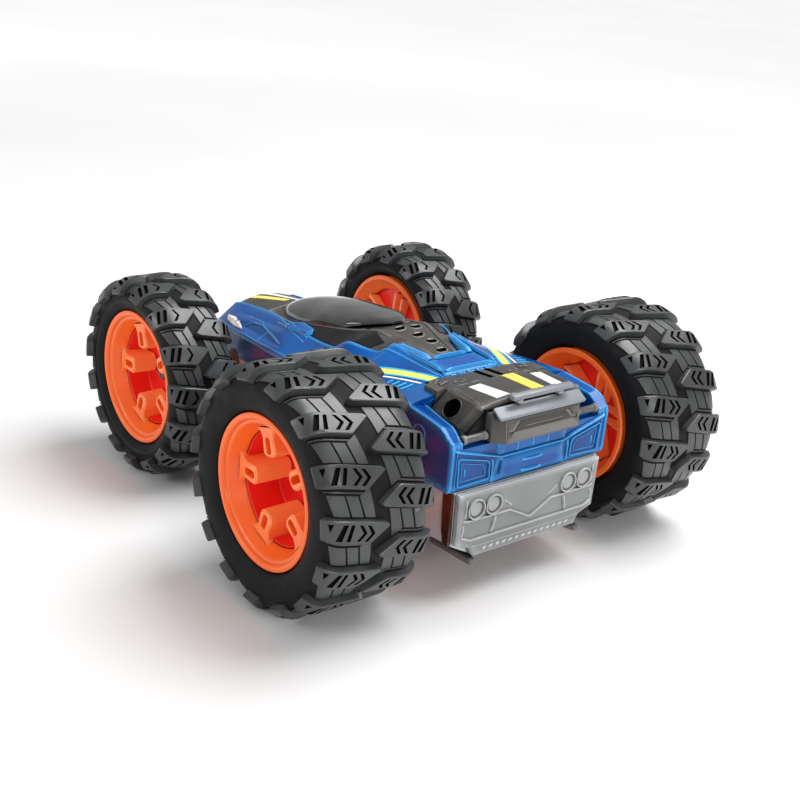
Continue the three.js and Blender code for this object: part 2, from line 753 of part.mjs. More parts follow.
const GREY = [
  { x: -110, floorZ: 30, floorY: 22, shoulderY: 27, shoulderZ: 36, sideY: 28.8 },
  { x: -100, floorZ: 24, floorY: 24, shoulderY: 31, shoulderZ: 32, sideY: 33.2 },
  { x: -82, floorZ: 19, floorY: 25, shoulderY: 36, shoulderZ: 29, sideY: 37.5 },
  { x: -50, floorZ: 19, floorY: 22, shoulderY: 38, shoulderZ: 31, sideY: 40.4 },
  { x: -38, floorZ: 16, floorY: 21, shoulderY: 40, shoulderZ: 33, sideY: 41.2 },
  { x: 38, floorZ: 16, floorY: 21, shoulderY: 46, shoulderZ: 33, sideY: 47 },
  { x: 60, floorZ: 18, floorY: 24, shoulderY: 46.5, shoulderZ: 31, sideY: 48 },
  { x: 90, floorZ: 21.7, floorY: 30, shoulderY: 46.5, shoulderZ: 29, sideY: 48.6 },
  { x: BUMPER_X - GAP, floorZ: 22, floorY: 31.5, shoulderY: 43.5, shoulderZ: 28.5, sideY: 44.5 },
];

const BATTERY_BAY = { x: [-32, 32], y: [-18, 18] };
const SWITCH_X = -67;
const SWITCH_TRAVEL = 4;
const SOCKET = { x: -66, y: 13, radius: 4.2, bore: 3 };

function greyRing(s, wall, topZ) {
  return mirrored([
    [NEAR_MIDDLE, s.floorZ + wall],
    [s.floorY - 0.5 * wall, s.floorZ + wall],
    [s.shoulderY - wall, s.shoulderZ + 0.3 * wall],
    [s.sideY - wall, topZ],
  ]);
}

function lowerShell() {
  const outer = loftX(GREY.map((s) => ({ x: s.x, ring: greyRing(s, 0, MID_Z - 0.2) })));
  const last = GREY.length - 1;
  const inner = loftX(GREY.map((s, i) => {
    const inset = (i === 0 ? WALL : 0) - (i === last ? WALL : 0);
    return { x: s.x + inset, ring: greyRing(s, WALL, MID_Z + 5) };
  }));
  const shrink = (pair, by) => [pair[0] - by, pair[1] + by];
  const slot = [SWITCH_X - 3 - 0.4, SWITCH_X + 3 + SWITCH_TRAVEL + 0.4];
  return cut(
    outer,
    inner,
    ...axleHoles(),
    box(shrink(BATTERY_BAY.x, GAP), shrink(BATTERY_BAY.y, GAP), [10, 19]),
    box(slot, [-2.2, 2.2], [17, 23]),
    post(SOCKET.x, SOCKET.y, SOCKET.radius + GAP, [17, 23]),
  );
}

function lowerCanopy() {
  const stations = [[-29, 5, 1.2], [-24, 12, 2.6], [-10, 16, 4], [8, 15, 4.2], [17, 9, 3], [21, 4, 1.2]];
  return loftX(stations.map(([x, halfWidth, depth]) => ({
    x,
    ring: mirrored([
      [halfWidth, 15.7],
      [0.75 * halfWidth, 15.7 - 0.75 * depth],
      [NEAR_MIDDLE, 15.7 - depth],
    ]),
  })));
}

function rearBumper() {
  return prismX([
    [-43.8, 54.2],
    [-43.8, 28],
    [-38, 26],
    [-31.9, 21.9],
    [31.9, 21.9],
    [38, 26],
    [43.8, 28],
    [43.8, 54.2],
  ], BUMPER_X, BUMPER_X + 3);
}

function frontBumper() {
  const z = [38, 62];
  return prismX([
    [-26, z[0] + 4],
    [-22, z[0]],
    [22, z[0]],
    [26, z[0] + 4],
    [26, z[1] - 5],
    [20, z[1]],
    [-20, z[1]],
    [-26, z[1] - 5],
  ], -115.6, -112 - GAP);
}

function skidPlate() {
  const side = [[107, 29.5], [117.4, 32.2], [117.2, 35.2], [90, 27]];
  const opposite = side.map(([x, y]) => [x, -y]).reverse();
  return prismZ([...side, ...opposite], 18.8, 21.3);
}

function switchSlider() {
  const knob = box([SWITCH_X - 3, SWITCH_X + 3], [-1.8, 1.8], [17.6, 22]);
  const flange = box([SWITCH_X - 6, SWITCH_X + 6], [-4, 4], [21.4, 22.8]);
  return join(knob, flange);
}

function chargeSocket() {
  const body = post(SOCKET.x, SOCKET.y, SOCKET.radius, [18.9, 27]);
  return cut(body, post(SOCKET.x, SOCKET.y, SOCKET.bore, [17, 25]));
}

function chassis() {
  const tray = box([-98, 98], [-26, 26], [39, 41.5]);
  const carrier = box([FRONT_AXLE_X - 6, FRONT_AXLE_X + 6], [-30, 30], [41, 57]);
  const cradles = [MOTOR_X - 6, MOTOR_X + 6].map((x) => box([x - 1, x + 1], [-26, 26], [41, 47.2]));
  const axleHole = rod(FRONT_AXLE_X, FRONT_WHEEL.radius, AXLE_RADIUS + GAP, [-40, 40]);
  return cut(join(tray, carrier, ...cradles), axleHole);
}

function batteryDoor() {
  const plate = box(BATTERY_BAY.x, BATTERY_BAY.y, [16, 18]);
  return cut(plate, post(27, 0, 1.5, [15, 19], 12));
}

function doorScrew() {
  return join(post(27, 0, 2.6, [14.3, 15.7], 12), post(27, 0, 1.2, [15.5, 19.5], 12));
}

function frontAxle() {
  const end = FRONT_WHEEL.lipY - FRONT_WHEEL.discDepth + 1;
  return rod(FRONT_AXLE_X, FRONT_WHEEL.radius, AXLE_RADIUS, [-end, end], 12);
}

add('lower_shell', lowerShell(), greyShell);
add('rear_bumper', rearBumper(), greyShell);
add('front_bumper', frontBumper(), greyShell);
add('skid_plate', skidPlate(), blackPlastic);
add('lower_canopy', lowerCanopy(), glossBlack);
add('chassis', chassis(), blackPlastic);
add('front_axle', frontAxle(), steel);
add('battery_pack', box([-30, 30], [-17, 17], [20.5, 38.5]), cellBlue);
add('battery_door', batteryDoor(), greyShell);
add('battery_door_screw', doorScrew(), steel);
add('circuit_board', box([-60, 20], [-20, 20], [58, 59.6]), boardGreen);
add('power_switch', switchSlider(), blackPlastic);
add('charge_socket', chargeSocket(), blackPlastic);

export default car;
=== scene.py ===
import json
import math

import bpy
import numpy as np
from mathutils import Matrix, Vector
from mathutils.geometry import delaunay_2d_cdt


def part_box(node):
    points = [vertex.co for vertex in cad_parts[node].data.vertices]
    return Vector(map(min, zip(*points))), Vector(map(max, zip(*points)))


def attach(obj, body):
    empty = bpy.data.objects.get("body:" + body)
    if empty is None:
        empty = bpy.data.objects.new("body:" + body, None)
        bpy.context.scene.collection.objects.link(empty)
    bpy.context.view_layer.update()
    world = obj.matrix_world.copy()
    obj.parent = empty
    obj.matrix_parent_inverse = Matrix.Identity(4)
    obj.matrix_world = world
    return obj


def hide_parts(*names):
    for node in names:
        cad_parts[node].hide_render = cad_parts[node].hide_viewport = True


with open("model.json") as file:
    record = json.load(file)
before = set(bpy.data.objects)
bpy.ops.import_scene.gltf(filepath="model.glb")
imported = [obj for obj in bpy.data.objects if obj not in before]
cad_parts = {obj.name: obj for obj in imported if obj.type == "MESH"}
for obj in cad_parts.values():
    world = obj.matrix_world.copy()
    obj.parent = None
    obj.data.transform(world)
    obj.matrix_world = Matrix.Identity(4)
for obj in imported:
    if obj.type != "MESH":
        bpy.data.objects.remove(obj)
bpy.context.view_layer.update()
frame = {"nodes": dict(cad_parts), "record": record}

# The looks of a double-sided RC stunt car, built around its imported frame. Shapes are written in
# millimetres in the frame's own axes and become metres when a piece is made.

MM = 0.001


def box_mm(node):
    """A CAD node's lowest and highest corners in millimetres."""
    low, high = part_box(node)
    return np.array(low) / MM, np.array(high) / MM


# ---------------------------------------------------------------- shapes

class Shape:
    """Corners in millimetres and faces, gathered part by part; each face has a paint number."""

    def __init__(self):
        self.points = []
        self.faces = []
        self.paints = []

    def add(self, points, faces, paint=0):
        start = len(self.points)
        self.points.extend(tuple(p) for p in points)
        self.faces.extend(tuple(start + i for i in face) for face in faces)
        self.paints.extend([paint] * len(faces))
        return self

    def moved(self, warp):
        """The same faces with every corner passed through warp, which takes and gives an array."""
        other = Shape()
        other.add(warp(np.array(self.points, float)), self.faces)
        other.paints = list(self.paints)
        return other

    def painted(self, paint):
        """The same shape with every face of paint 0 in another paint."""
        self.paints = [old or paint for old in self.paints]
        return self

    def join(self, other):
        start = len(self.points)
        self.points.extend(other.points)
        self.faces.extend(tuple(start + i for i in face) for face in other.faces)
        self.paints.extend(other.paints)
        return self


def grid(rows, close_across=False, close_along=False):
    """Points and quads over rows of equally many points."""
    count = len(rows[0])
    points = [p for row in rows for p in row]
    faces = []
    for i in range(len(rows) if close_along else len(rows) - 1):
        for j in range(count if close_across else count - 1):
            a = i * count + j
            b = i * count + (j + 1) % count
            next_row = ((i + 1) % len(rows)) * count
            faces.append((a, b, next_row + (j + 1) % count, next_row + j))
    return points, faces


def lathe(profile, segments):
    """A closed ring about the Y axis from a closed outline of (radius, y)."""
    rows = []
    for i in range(segments):
        angle = 2 * math.pi * i / segments
        rows.append([(r * math.cos(angle), y, r * math.sin(angle)) for r, y in profile])
    return grid(rows, close_across=True, close_along=True)


def loft(rings):
    """A closed solid through rings of equally many corners."""
    points, faces = grid(rings, close_across=True)
    count = len(rings[0])
    last = (len(rings) - 1) * count
    faces.append(tuple(reversed(range(count))))
    faces.append(tuple(last + i for i in range(count)))
    return points, faces


def refined(loop, step):
    """The loop with points added so that no edge is longer than step."""
    result = []
    for a, b in zip(loop, loop[1:] + loop[:1]):
        parts = max(1, math.ceil(math.dist(a, b) / step))
        for i in range(parts):
            t = i / parts
            result.append((a[0] + t * (b[0] - a[0]), a[1] + t * (b[1] - a[1])))
    return result


def area(loop):
    """The area inside a loop, negative if it runs clockwise."""
    return 0.5 * sum(a[0] * b[1] - b[0] * a[1] for a, b in zip(loop, loop[1:] + loop[:1]))


def anticlockwise(loop):
    """The loop, turned round if it runs clockwise."""
    return list(loop) if area(loop) > 0 else list(reversed(loop))


def rect(u0, v0, u1, v1):
    """A rectangle from one corner to the opposite one."""
    return [(u0, v0), (u1, v0), (u1, v1), (u0, v1)]


def inset(loop, amount):
    """An anticlockwise loop drawn in by an amount on every side."""
    result = []
    for i, here in enumerate(loop):
        before = Vector(here) - Vector(loop[i - 1])
        after = Vector(loop[(i + 1) % len(loop)]) - Vector(here)
        n1 = Vector((-before.y, before.x)).normalized()
        n2 = Vector((-after.y, after.x)).normalized()
        miter = (n1 + n2) / max(0.4, 1 + n1.dot(n2))
        result.append((here[0] + amount * miter.x, here[1] + amount * miter.y))
    return result


def rounded(loop, radius, steps=3):
    """The loop with each corner cut back by radius and turned through an arc of a few steps."""
    result = []
    for i, here in enumerate(loop):
        corner = Vector(here)
        to_last = Vector(loop[i - 1]) - corner
        to_next = Vector(loop[(i + 1) % len(loop)]) - corner
        back = min(radius, 0.45 * to_last.length, 0.45 * to_next.length)
        a = corner + to_last.normalized() * back
        b = corner + to_next.normalized() * back
        for k in range(steps + 1):
            t = k / steps
            p = (1 - t) ** 2 * a + 2 * t * (1 - t) * corner + t ** 2 * b
            result.append((p.x, p.y))
    return result


def inside(point, loop):
    """Whether a point is inside a loop, from the edges that a line to its right crosses."""
    x, y = point
    odd = False
    for (x0, y0), (x1, y1) in zip(loop, loop[1:] + loop[:1]):
        if (y0 > y) != (y1 > y) and x < (x1 - x0) * (y - y0) / (y1 - y0) + x0:
            odd = not odd
    return odd


def filled(loops, step=0):
    """(points, triangles) inside the first loop and outside the others."""
    points = [p for loop in loops for p in loop]
    edges = []
    start = 0
    for loop in loops:
        edges += [(start + i, start + (i + 1) % len(loop)) for i in range(len(loop))]
        start += len(loop)
    if step:
        corners = np.array(loops[0])
        margin = inset(loops[0], 0.4 * step)
        for u in np.arange(corners[:, 0].min() + 0.5 * step, corners[:, 0].max(), step):
            for v in np.arange(corners[:, 1].min() + 0.5 * step, corners[:, 1].max(), step):
                if inside((u, v), margin) and not any(inside((u, v), hole) for hole in loops[1:]):
                    points.append((float(u), float(v)))
    found, _, triangles, _, _, _ = delaunay_2d_cdt([Vector(p) for p in points], edges, [], 0, 1e-5)
    kept = []
    for triangle in triangles:
        middle = sum((found[i] for i in triangle), Vector((0, 0))) / 3
        if inside(middle, loops[0]) and not any(inside(middle, hole) for hole in loops[1:]):
            kept.append(tuple(triangle))
    return [tuple(p) for p in found], kept


def plate(outline, low, high, bevel=0.0, recesses=(), depth=0.0, flare=0.0, step=0.0,
          recess_shade_paint=0):
    """A flat closed slab over an outline in (u, v), with a bevelled top and recesses in it."""
    outline = anticlockwise(outline)
    if step:
        outline = refined(outline, step)
    holes = [anticlockwise(hole) for hole in recesses]
    foot = inset(outline, -flare)
    top = inset(outline, bevel)
    shape = Shape()
    rings = [[(u, v, low) for u, v in foot], [(u, v, high - bevel) for u, v in outline]]
    if bevel:
        rings.append([(u, v, high) for u, v in top])
    shape.add(*grid(rings, close_across=True))
    points, triangles = filled([top] + holes, step)
    shape.add([(u, v, high) for u, v in points], triangles)
    points, triangles = filled([foot])
    shape.add([(u, v, low) for u, v in points], [tuple(reversed(t)) for t in triangles])
    # The recesses' walls and floors take a near-black paint as painted shade.
    for hole in holes:
        walls = [[(u, v, high - depth) for u, v in hole], [(u, v, high) for u, v in hole]]
        points, faces = grid(walls, close_across=True)
        shape.add(points, [tuple(reversed(f)) for f in faces], recess_shade_paint)
        points, triangles = filled([hole])
        shape.add([(u, v, high - depth) for u, v in points], triangles, recess_shade_paint)
    return shape


def mirrored_shape(shape):
    """The shape on the other side of the car's middle plane."""
    other = Shape()
    other.add([(x, -y, z) for x, y, z in shape.points], [tuple(reversed(f)) for f in shape.faces])
    other.paints = list(shape.paints)
    return other


def both_sides(shape):
    """The shape and its mirror image."""
    return Shape().join(shape).join(mirrored_shape(shape))


# ---------------------------------------------------------------- pieces

WELD_REACH = 0.01
BEVEL_ANGLE = 35


def apply_modifiers(obj):
    """Make the object's modifiers part of its mesh."""
    bpy.context.view_layer.update()
    graph = bpy.context.evaluated_depsgraph_get()
    mesh = bpy.data.meshes.new_from_object(obj.evaluated_get(graph))
    obj.modifiers.clear()
    obj.data = mesh


def piece(name, shape, slot, paints, replaces=(), body="chassis", bevel=0.0, sharp=35, solid=0.0):
    """A shown piece from a shape, riding on a CAD body and standing for CAD nodes."""
    mesh = bpy.data.meshes.new(name)
    mesh.from_pydata([tuple(c * MM for c in p) for p in shape.points], [], shape.faces)
    for paint in paints:
        mesh.materials.append(PAINT[paint])
    mesh.polygons.foreach_set("material_index", np.array(shape.paints, np.int32))
    mesh.update()
    obj = bpy.data.objects.new(name, mesh)
    bpy.context.scene.collection.objects.link(obj)
    modifier = obj.modifiers.new("weld", "WELD")
    modifier.merge_threshold = WELD_REACH * MM
    if solid:
        modifier = obj.modifiers.new("solid", "SOLIDIFY")
        modifier.thickness = solid * MM
        modifier.offset = -1
        modifier.use_even_offset = False
    if bevel:
        modifier = obj.modifiers.new("bevel", "BEVEL")
        modifier.width = bevel * MM
        modifier.segments = 2
        modifier.limit_method = "ANGLE"
        modifier.angle_limit = math.radians(BEVEL_ANGLE)
        modifier.miter_outer = "MITER_ARC"
    apply_modifiers(obj)
    obj.data.shade_smooth()
    obj.data.set_sharp_from_angle(angle=math.radians(sharp))
    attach(obj, body)
    if replaces:
        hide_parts(*replaces)


# ---------------------------------------------------------------- materials

def node_material(name):
    """A new material with its node tree and its shader."""
    material = bpy.data.materials.new(name)
    material.use_nodes = True
    tree = material.node_tree
    return material, tree, tree.nodes["Principled BSDF"]


def noise(tree, scale, detail=3.0):
    """A noise texture in the object's own space, scale in waves per metre."""
    place = tree.nodes.new("ShaderNodeTexCoord")
    texture = tree.nodes.new("ShaderNodeTexNoise")
    texture.inputs["Scale"].default_value = scale
    texture.inputs["Detail"].default_value = detail
    tree.links.new(place.outputs["Object"], texture.inputs["Vector"])
    return texture.outputs["Fac"]


def ranged(tree, value, low, high, source=(0.3, 0.7)):
    """A value's source range stretched to run from low to high."""
    node = tree.nodes.new("ShaderNodeMapRange")
    node.inputs["From Min"].default_value = source[0]
    node.inputs["From Max"].default_value = source[1]
    node.inputs["To Min"].default_value = low
    node.inputs["To Max"].default_value = high
    tree.links.new(value, node.inputs["Value"])
    return node.outputs["Result"]


def mixed(tree, factor, first, second):
    """A colour between two; each is an (r, g, b) or another node's output."""
    node = tree.nodes.new("ShaderNodeMix")
    node.data_type = "RGBA"
    tree.links.new(factor, node.inputs["Factor"])
    for socket, colour in ((node.inputs[6], first), (node.inputs[7], second)):
        if isinstance(colour, tuple):
            socket.default_value = (*colour, 1)
        else:
            tree.links.new(colour, socket)
    return node.outputs[2]


def bumped(tree, shader, height, strength, distance):
    """Give the shader a bump of a distance in millimetres."""
    node = tree.nodes.new("ShaderNodeBump")
    node.inputs["Strength"].default_value = strength
    node.inputs["Distance"].default_value = distance * MM
    tree.links.new(height, node.inputs["Height"])
    tree.links.new(node.outputs["Normal"], shader.inputs["Normal"])


def edges(tree, low=0.52, high=0.62):
    """How far a place is on a convex edge, from 0 to 1; it masks a painted edge highlight."""
    geometry = tree.nodes.new("ShaderNodeNewGeometry")
    return ranged(tree, geometry.outputs["Pointiness"], 0, 1, (low, high))


# Painted shade: colours turn towards this near-black where other surfaces lie within this reach.
GROOVE_SHADE_REACH = 1.8
GROOVE_SHADE_COLOUR = (0.002, 0.002, 0.002)


def groove_shaded(tree, colour):
    """Darken a colour with painted shade in grooves and beside raised lines."""
    hollow = tree.nodes.new("ShaderNodeAmbientOcclusion")
    hollow.samples = 6
    hollow.inputs["Distance"].default_value = GROOVE_SHADE_REACH * MM
    unshaded = ranged(tree, hollow.outputs["AO"], 0, 1, (0.3, 0.85))
    return mixed(tree, unshaded, GROOVE_SHADE_COLOUR, colour)


MOTTLE_SCALE = 45
POLISH_SCALE = 160
GRAIN_DEPTH = 0.05


def moulded(name, dark, light, roughness, grain=1400, bump=0.15, edge=None, coat=0.0, metal=0.0,
            shine=0.5, glow=0.0):
    """A moulded plastic, rubber or metal: mottled colour, uneven roughness, fine grain, painted highlights
    and shade.
    """
    material, tree, shader = node_material(name)
    colour = mixed(tree, ranged(tree, noise(tree, MOTTLE_SCALE), 0, 1), dark, light)
    # Painted highlight: convex edges take the edge colour; painted shade then darkens the grooves.
    if edge:
        colour = groove_shaded(tree, mixed(tree, edges(tree), colour, edge))
    tree.links.new(colour, shader.inputs["Base Color"])
    polish = ranged(tree, noise(tree, POLISH_SCALE), roughness - 0.05, roughness + 0.06)
    tree.links.new(polish, shader.inputs["Roughness"])
    shader.inputs["Coat Weight"].default_value = coat
    shader.inputs["Coat Roughness"].default_value = 0.08
    shader.inputs["Metallic"].default_value = metal
    shader.inputs["Specular IOR Level"].default_value = shine
    # Painted light: the colour also glows faintly, which brightens it where it lies in shade.
    if glow:
        tree.links.new(colour, shader.inputs["Emission Color"])
        shader.inputs["Emission Strength"].default_value = glow
    bumped(tree, shader, noise(tree, grain, 2), bump, GRAIN_DEPTH)
    return material


def grey(value):
    """A colour without a hue."""
    return (value, value, value)


PAINT = {
    # One rubber in two brightnesses: the sidewall is darkened as painted shade and the tread lightened as
    # painted light.
    "sidewall": moulded("rubber_sidewall_shaded", (0.007, 0.0072, 0.0076), (0.012, 0.0125, 0.013), 0.55,
                        2200, 0.35, edge=(0.07, 0.073, 0.075), shine=0.12),
    "tread": moulded("rubber_tread_lit", (0.026, 0.028, 0.029), (0.05, 0.053, 0.055), 0.34,
                     2200, 0.35, edge=(0.34, 0.35, 0.355), shine=0.6),
    # Painted shade: near-black floors and walls of the tread's recesses.
    "tread_mark_shade": moulded("rubber_recess_shade", grey(0.002), grey(0.004), 0.8, shine=0.1),
    # Painted light: the orange and the red glow a little, which brightens them in shade.
    "orange": moulded("orange_plastic", (0.92, 0.125, 0.012), (0.98, 0.165, 0.02), 0.33,
                      900, 0.08, edge=(1.0, 0.32, 0.1), coat=0.1, glow=0.08),
    "red": moulded("red_plastic", (0.7, 0.012, 0.008), (0.8, 0.018, 0.01), 0.4, 900, 0.08, glow=0.15),
    "black": moulded("black_plastic", (0.028, 0.026, 0.024), (0.044, 0.042, 0.039), 0.4,
                     1600, 0.3, edge=(0.15, 0.145, 0.135), shine=0.4),
    # Painted shade: near-black floors and walls of recesses in the black parts.
    "pit_shade": moulded("black_recess_shade", grey(0.002), grey(0.004), 0.7, shine=0.1),
    "gloss_black": moulded("gloss_black_plastic", grey(0.004), grey(0.075), 0.1, 700, 0.03, coat=0.6),
    "grey": moulded("grey_plastic", (0.195, 0.2, 0.2), (0.24, 0.245, 0.245), 0.4,
                    1500, 0.25, edge=(0.55, 0.56, 0.57)),
    "strip_grey": moulded("strip_grey_plastic", (0.13, 0.145, 0.165), (0.17, 0.185, 0.205), 0.32,
                          1500, 0.2, edge=(0.28, 0.3, 0.32)),
    "brown_grey": moulded("brown_grey_plastic", (0.07, 0.066, 0.062), (0.1, 0.094, 0.09), 0.34,
                          1500, 0.2, edge=(0.26, 0.25, 0.24)),
    "lens": moulded("lens_plastic", (0.7, 0.72, 0.72), (0.8, 0.82, 0.8), 0.15, 400, 0.03, coat=0.5),
    "nylon": moulded("nylon", (0.75, 0.72, 0.62), (0.84, 0.81, 0.72), 0.42),
    "steel": moulded("drawn_steel", (0.5, 0.51, 0.52), (0.64, 0.65, 0.66), 0.28, 2600, 0.2, metal=1.0),
    "motor": moulded("motor_steel", (0.48, 0.48, 0.49), (0.6, 0.6, 0.61), 0.34, 2600, 0.25, metal=1.0),
    "sleeve": moulded("battery_sleeve", (0.03, 0.07, 0.3), (0.045, 0.1, 0.38), 0.22, 500, 0.3, coat=0.3),
    "board": moulded("circuit_board", (0.008, 0.12, 0.04), (0.014, 0.17, 0.06), 0.35, 300, 0.4),
    "satin": moulded("satin_black_plastic", (0.034, 0.031, 0.028), (0.05, 0.046, 0.041), 0.38,
                     1600, 0.25, edge=(0.22, 0.21, 0.195), shine=0.45),
    "window": moulded("smoked_window", grey(0.006), grey(0.01), 0.3, 700, 0.05, shine=0.25),
    "brown": moulded("brown_red_plastic", (0.045, 0.012, 0.008), (0.075, 0.02, 0.014), 0.3, 900, 0.1),
    "white": moulded("white_sticker", (0.82, 0.82, 0.8), (0.9, 0.9, 0.88), 0.3, 800, 0.05),
    "yellow": moulded("yellow_sticker", (0.86, 0.72, 0.1), (0.92, 0.79, 0.16), 0.3, 800, 0.05),
    "cyan": moulded("cyan_sticker", (0.02, 0.4, 0.72), (0.04, 0.5, 0.82), 0.3, 800, 0.05),
}


def blue_plastic():
    """Tinted glossy blue: deeper and more violet in patches, with a painted cyan highlight along its edges
    and painted shade in its grooves.
    """
    material, tree, shader = node_material("blue_plastic")
    base = mixed(tree, ranged(tree, noise(tree, 26, 1), 0, 1), (0.0, 0.03, 0.19), (0.0, 0.105, 0.4))
    # Painted highlight: convex edges turn bright cyan.
    colour = mixed(tree, edges(tree, 0.51, 0.6), base, (0.05, 0.38, 0.82))
    tree.links.new(groove_shaded(tree, colour), shader.inputs["Base Color"])
    tree.links.new(ranged(tree, noise(tree, 120), 0.14, 0.22), shader.inputs["Roughness"])
    shader.inputs["Specular IOR Level"].default_value = 0.2
    shader.inputs["Coat Weight"].default_value = 0.25
    shader.inputs["Coat Roughness"].default_value = 0.06
    bumped(tree, shader, noise(tree, 60, 2), 0.12, 0.2)
    return material


PAINT["blue"] = blue_plastic()

SLOT_PAINT = {
    "tyre": "sidewall", "orange_rim": "orange", "red_hub": "red", "black_plastic": "black",
    "gloss_black": "gloss_black", "blue_shell": "blue", "grey_shell": "grey",
    "pale_grey": "strip_grey", "brown_grey": "brown_grey", "lens": "lens", "motor_can": "motor",
    "nylon": "nylon", "steel": "steel", "battery_sleeve": "sleeve", "board": "board",
}


def paint_frame():
    """Every CAD node gets the procedural material of its slot."""
    for subpart in frame["record"]["subparts"]:
        mesh = frame["nodes"][subpart["node"]].data
        mesh.materials.clear()
        mesh.materials.append(PAINT[SLOT_PAINT[subpart["material_slot"]]])


# ---------------------------------------------------------------- wheels

# A wheel is drawn about the Y axis with its outer rim plane at y = 0 and the car towards +y. The
# wheels on the car's right are the same mouldings turned half round about Z.

LUGS_PER_ROW = 15
LUG_STAGGER = 7.7
LUG_HEIGHT = 3.5
LUG_SLANT = 0.235
SHOULDER_RADIUS = 7.0
TREAD_OVERHANG = 2.2
FIRST_LUG_ANGLE = {"rear": 52.8, "front": 8.9}
TREAD_REACH = {"rear": 27.2, "front": 19.4}
SHOULDER_TURN = math.radians(100)


class Tyre:
    """The tyre's section as a line from the middle of the tread over the shoulder."""

    def __init__(self, width, radius, bead):
        self.width = width
        self.bead = bead
        self.crown = radius - LUG_HEIGHT
        self.middle = (width - TREAD_OVERHANG) / 2
        self.flat = self.middle + TREAD_OVERHANG - SHOULDER_RADIUS
        self.pitch = math.radians(360 / LUGS_PER_ROW) * self.crown

    def point(self, along, height):
        """(radius, y) at a distance outwards from the middle and a height over the carcass."""
        side = np.sign(along)
        reach = np.abs(along)
        turn = np.clip((reach - self.flat) / SHOULDER_RADIUS, 0, SHOULDER_TURN)
        straight = np.minimum(reach, self.flat)
        arm = SHOULDER_RADIUS + height
        radius = self.crown - SHOULDER_RADIUS + arm * np.cos(turn)
        return radius, self.middle - side * (straight + arm * np.sin(turn))

    def wrap(self, angle, flip):
        """A warp from flat tread places (outwards, round, height) onto the tyre."""
        def warp(points):
            sign = -1 if flip else 1
            radius, y = self.point(sign * points[:, 0], points[:, 2])
            theta = math.radians(angle) + sign * points[:, 1] / self.crown
            return np.stack([radius * np.cos(theta), y, radius * np.sin(theta)], 1)
        return warp


def lug_mark(reach):
    """Recesses in a lug's top: a small triangle, two slanted bars and two arrowheads."""
    low, high = -7.5, -0.9
    scale = reach / TREAD_REACH["rear"]

    def place(corners):
        return [(u * scale, LUG_SLANT * u * scale + w) for u, w in corners]

    marks = [place([(23.2, high), (24.9, high), (24.4, high - 3.4)])]
    for start in (18.9, 15.9):
        marks.append(place([
            (start, high), (start + 1.7, high), (start + 4.0, low), (start + 2.3, low),
        ]))
    for start in (10.4, 6.4):
        marks.append(place([
            (start + 3.4, high), (start + 1.6, high), (start - 0.6, -4.0), (start + 3.0, low),
            (start + 4.8, low), (start + 1.3, -4.2),
        ]))
    return marks


def lug_shape(reach):
    """One lug over its own place: a slanted bar with a pointed inner end."""
    corners = [(reach, 0.5), (-0.4, 0.5), (-2.2, -0.6), (0.3 * reach, -8.8), (reach, -8.8)]
    outline = rounded([(u, LUG_SLANT * u + w) for u, w in corners], 0.8, 2)
    marks = lug_mark(reach)
    if reach < TREAD_REACH["rear"]:
        marks = marks[:-1]
    return plate(outline, -0.6, LUG_HEIGHT, 0.35, marks, 1.2, 0.5, 2.6, recess_shade_paint=1).painted(2)


def panel_shapes(reach, pitch):
    """The low panels between a lug and the next one below it, parted by fine grooves."""
    top, bottom = -9.9, 1.4 - pitch
    lean = -2.0
    groove = 0.75
    borders = [reach - 1.2, 0.66 * reach, 0.42 * reach, 0.2 * reach]
    rail = [(borders[0], top), (0.33 * reach, top), (0.33 * reach, top - 0.8), (borders[0], top - 0.8)]
    panels = [rail]
    for outer, inner in zip(borders, borders[1:]):
        shift = 1.6 if inner == borders[-1] else 0
        panels.append([
            (outer - groove, top - 1.6), (inner, top - 1.6 + 2.5 * shift),
            (inner + lean, bottom), (outer - groove + lean, bottom),
        ])
    shapes = []
    for corners in panels:
        outline = [(u, LUG_SLANT * u + w) for u, w in corners]
        shapes.append(plate(outline, -0.4, 0.5, 0.15, step=3.5).painted(2))
    return shapes


def tyre_shape(end, width, radius, bead):
    """The carcass with its two rows of lugs and panels."""
    tyre = Tyre(width, radius, bead)
    reach = TREAD_REACH[end]
    edge = tyre.flat + SHOULDER_TURN * SHOULDER_RADIUS
    half = [tyre.point(np.array(a), 0) for a in np.linspace(0, edge, 13)]
    outer = [(float(r), float(y)) for r, y in half]
    sidewall = [(bead + 5.5, -2.0), (bead + 2.5, -1.1), (bead + 0.6, 0.1), (bead, 1.2)]
    profile = outer + sidewall
    inner = [(r, 2 * tyre.middle - y) for r, y in reversed(profile[1:])]
    shape = Shape().add(*lathe(profile + inner, 12 * LUGS_PER_ROW))
    lug = lug_shape(reach)
    panels = panel_shapes(reach, tyre.pitch)
    for flip, stagger in ((False, 0), (True, LUG_STAGGER)):
        for i in range(LUGS_PER_ROW):
            angle = FIRST_LUG_ANGLE[end] + stagger + i * 360 / LUGS_PER_ROW
            warp = tyre.wrap(angle, flip)
            shape.join(lug.moved(warp))
            for panel in panels:
                shape.join(panel.moved(warp))
    return shape


RIM_SEGMENTS = 120
POST_COUNT = 5
HUB_BOSS_HEIGHT = 2.0


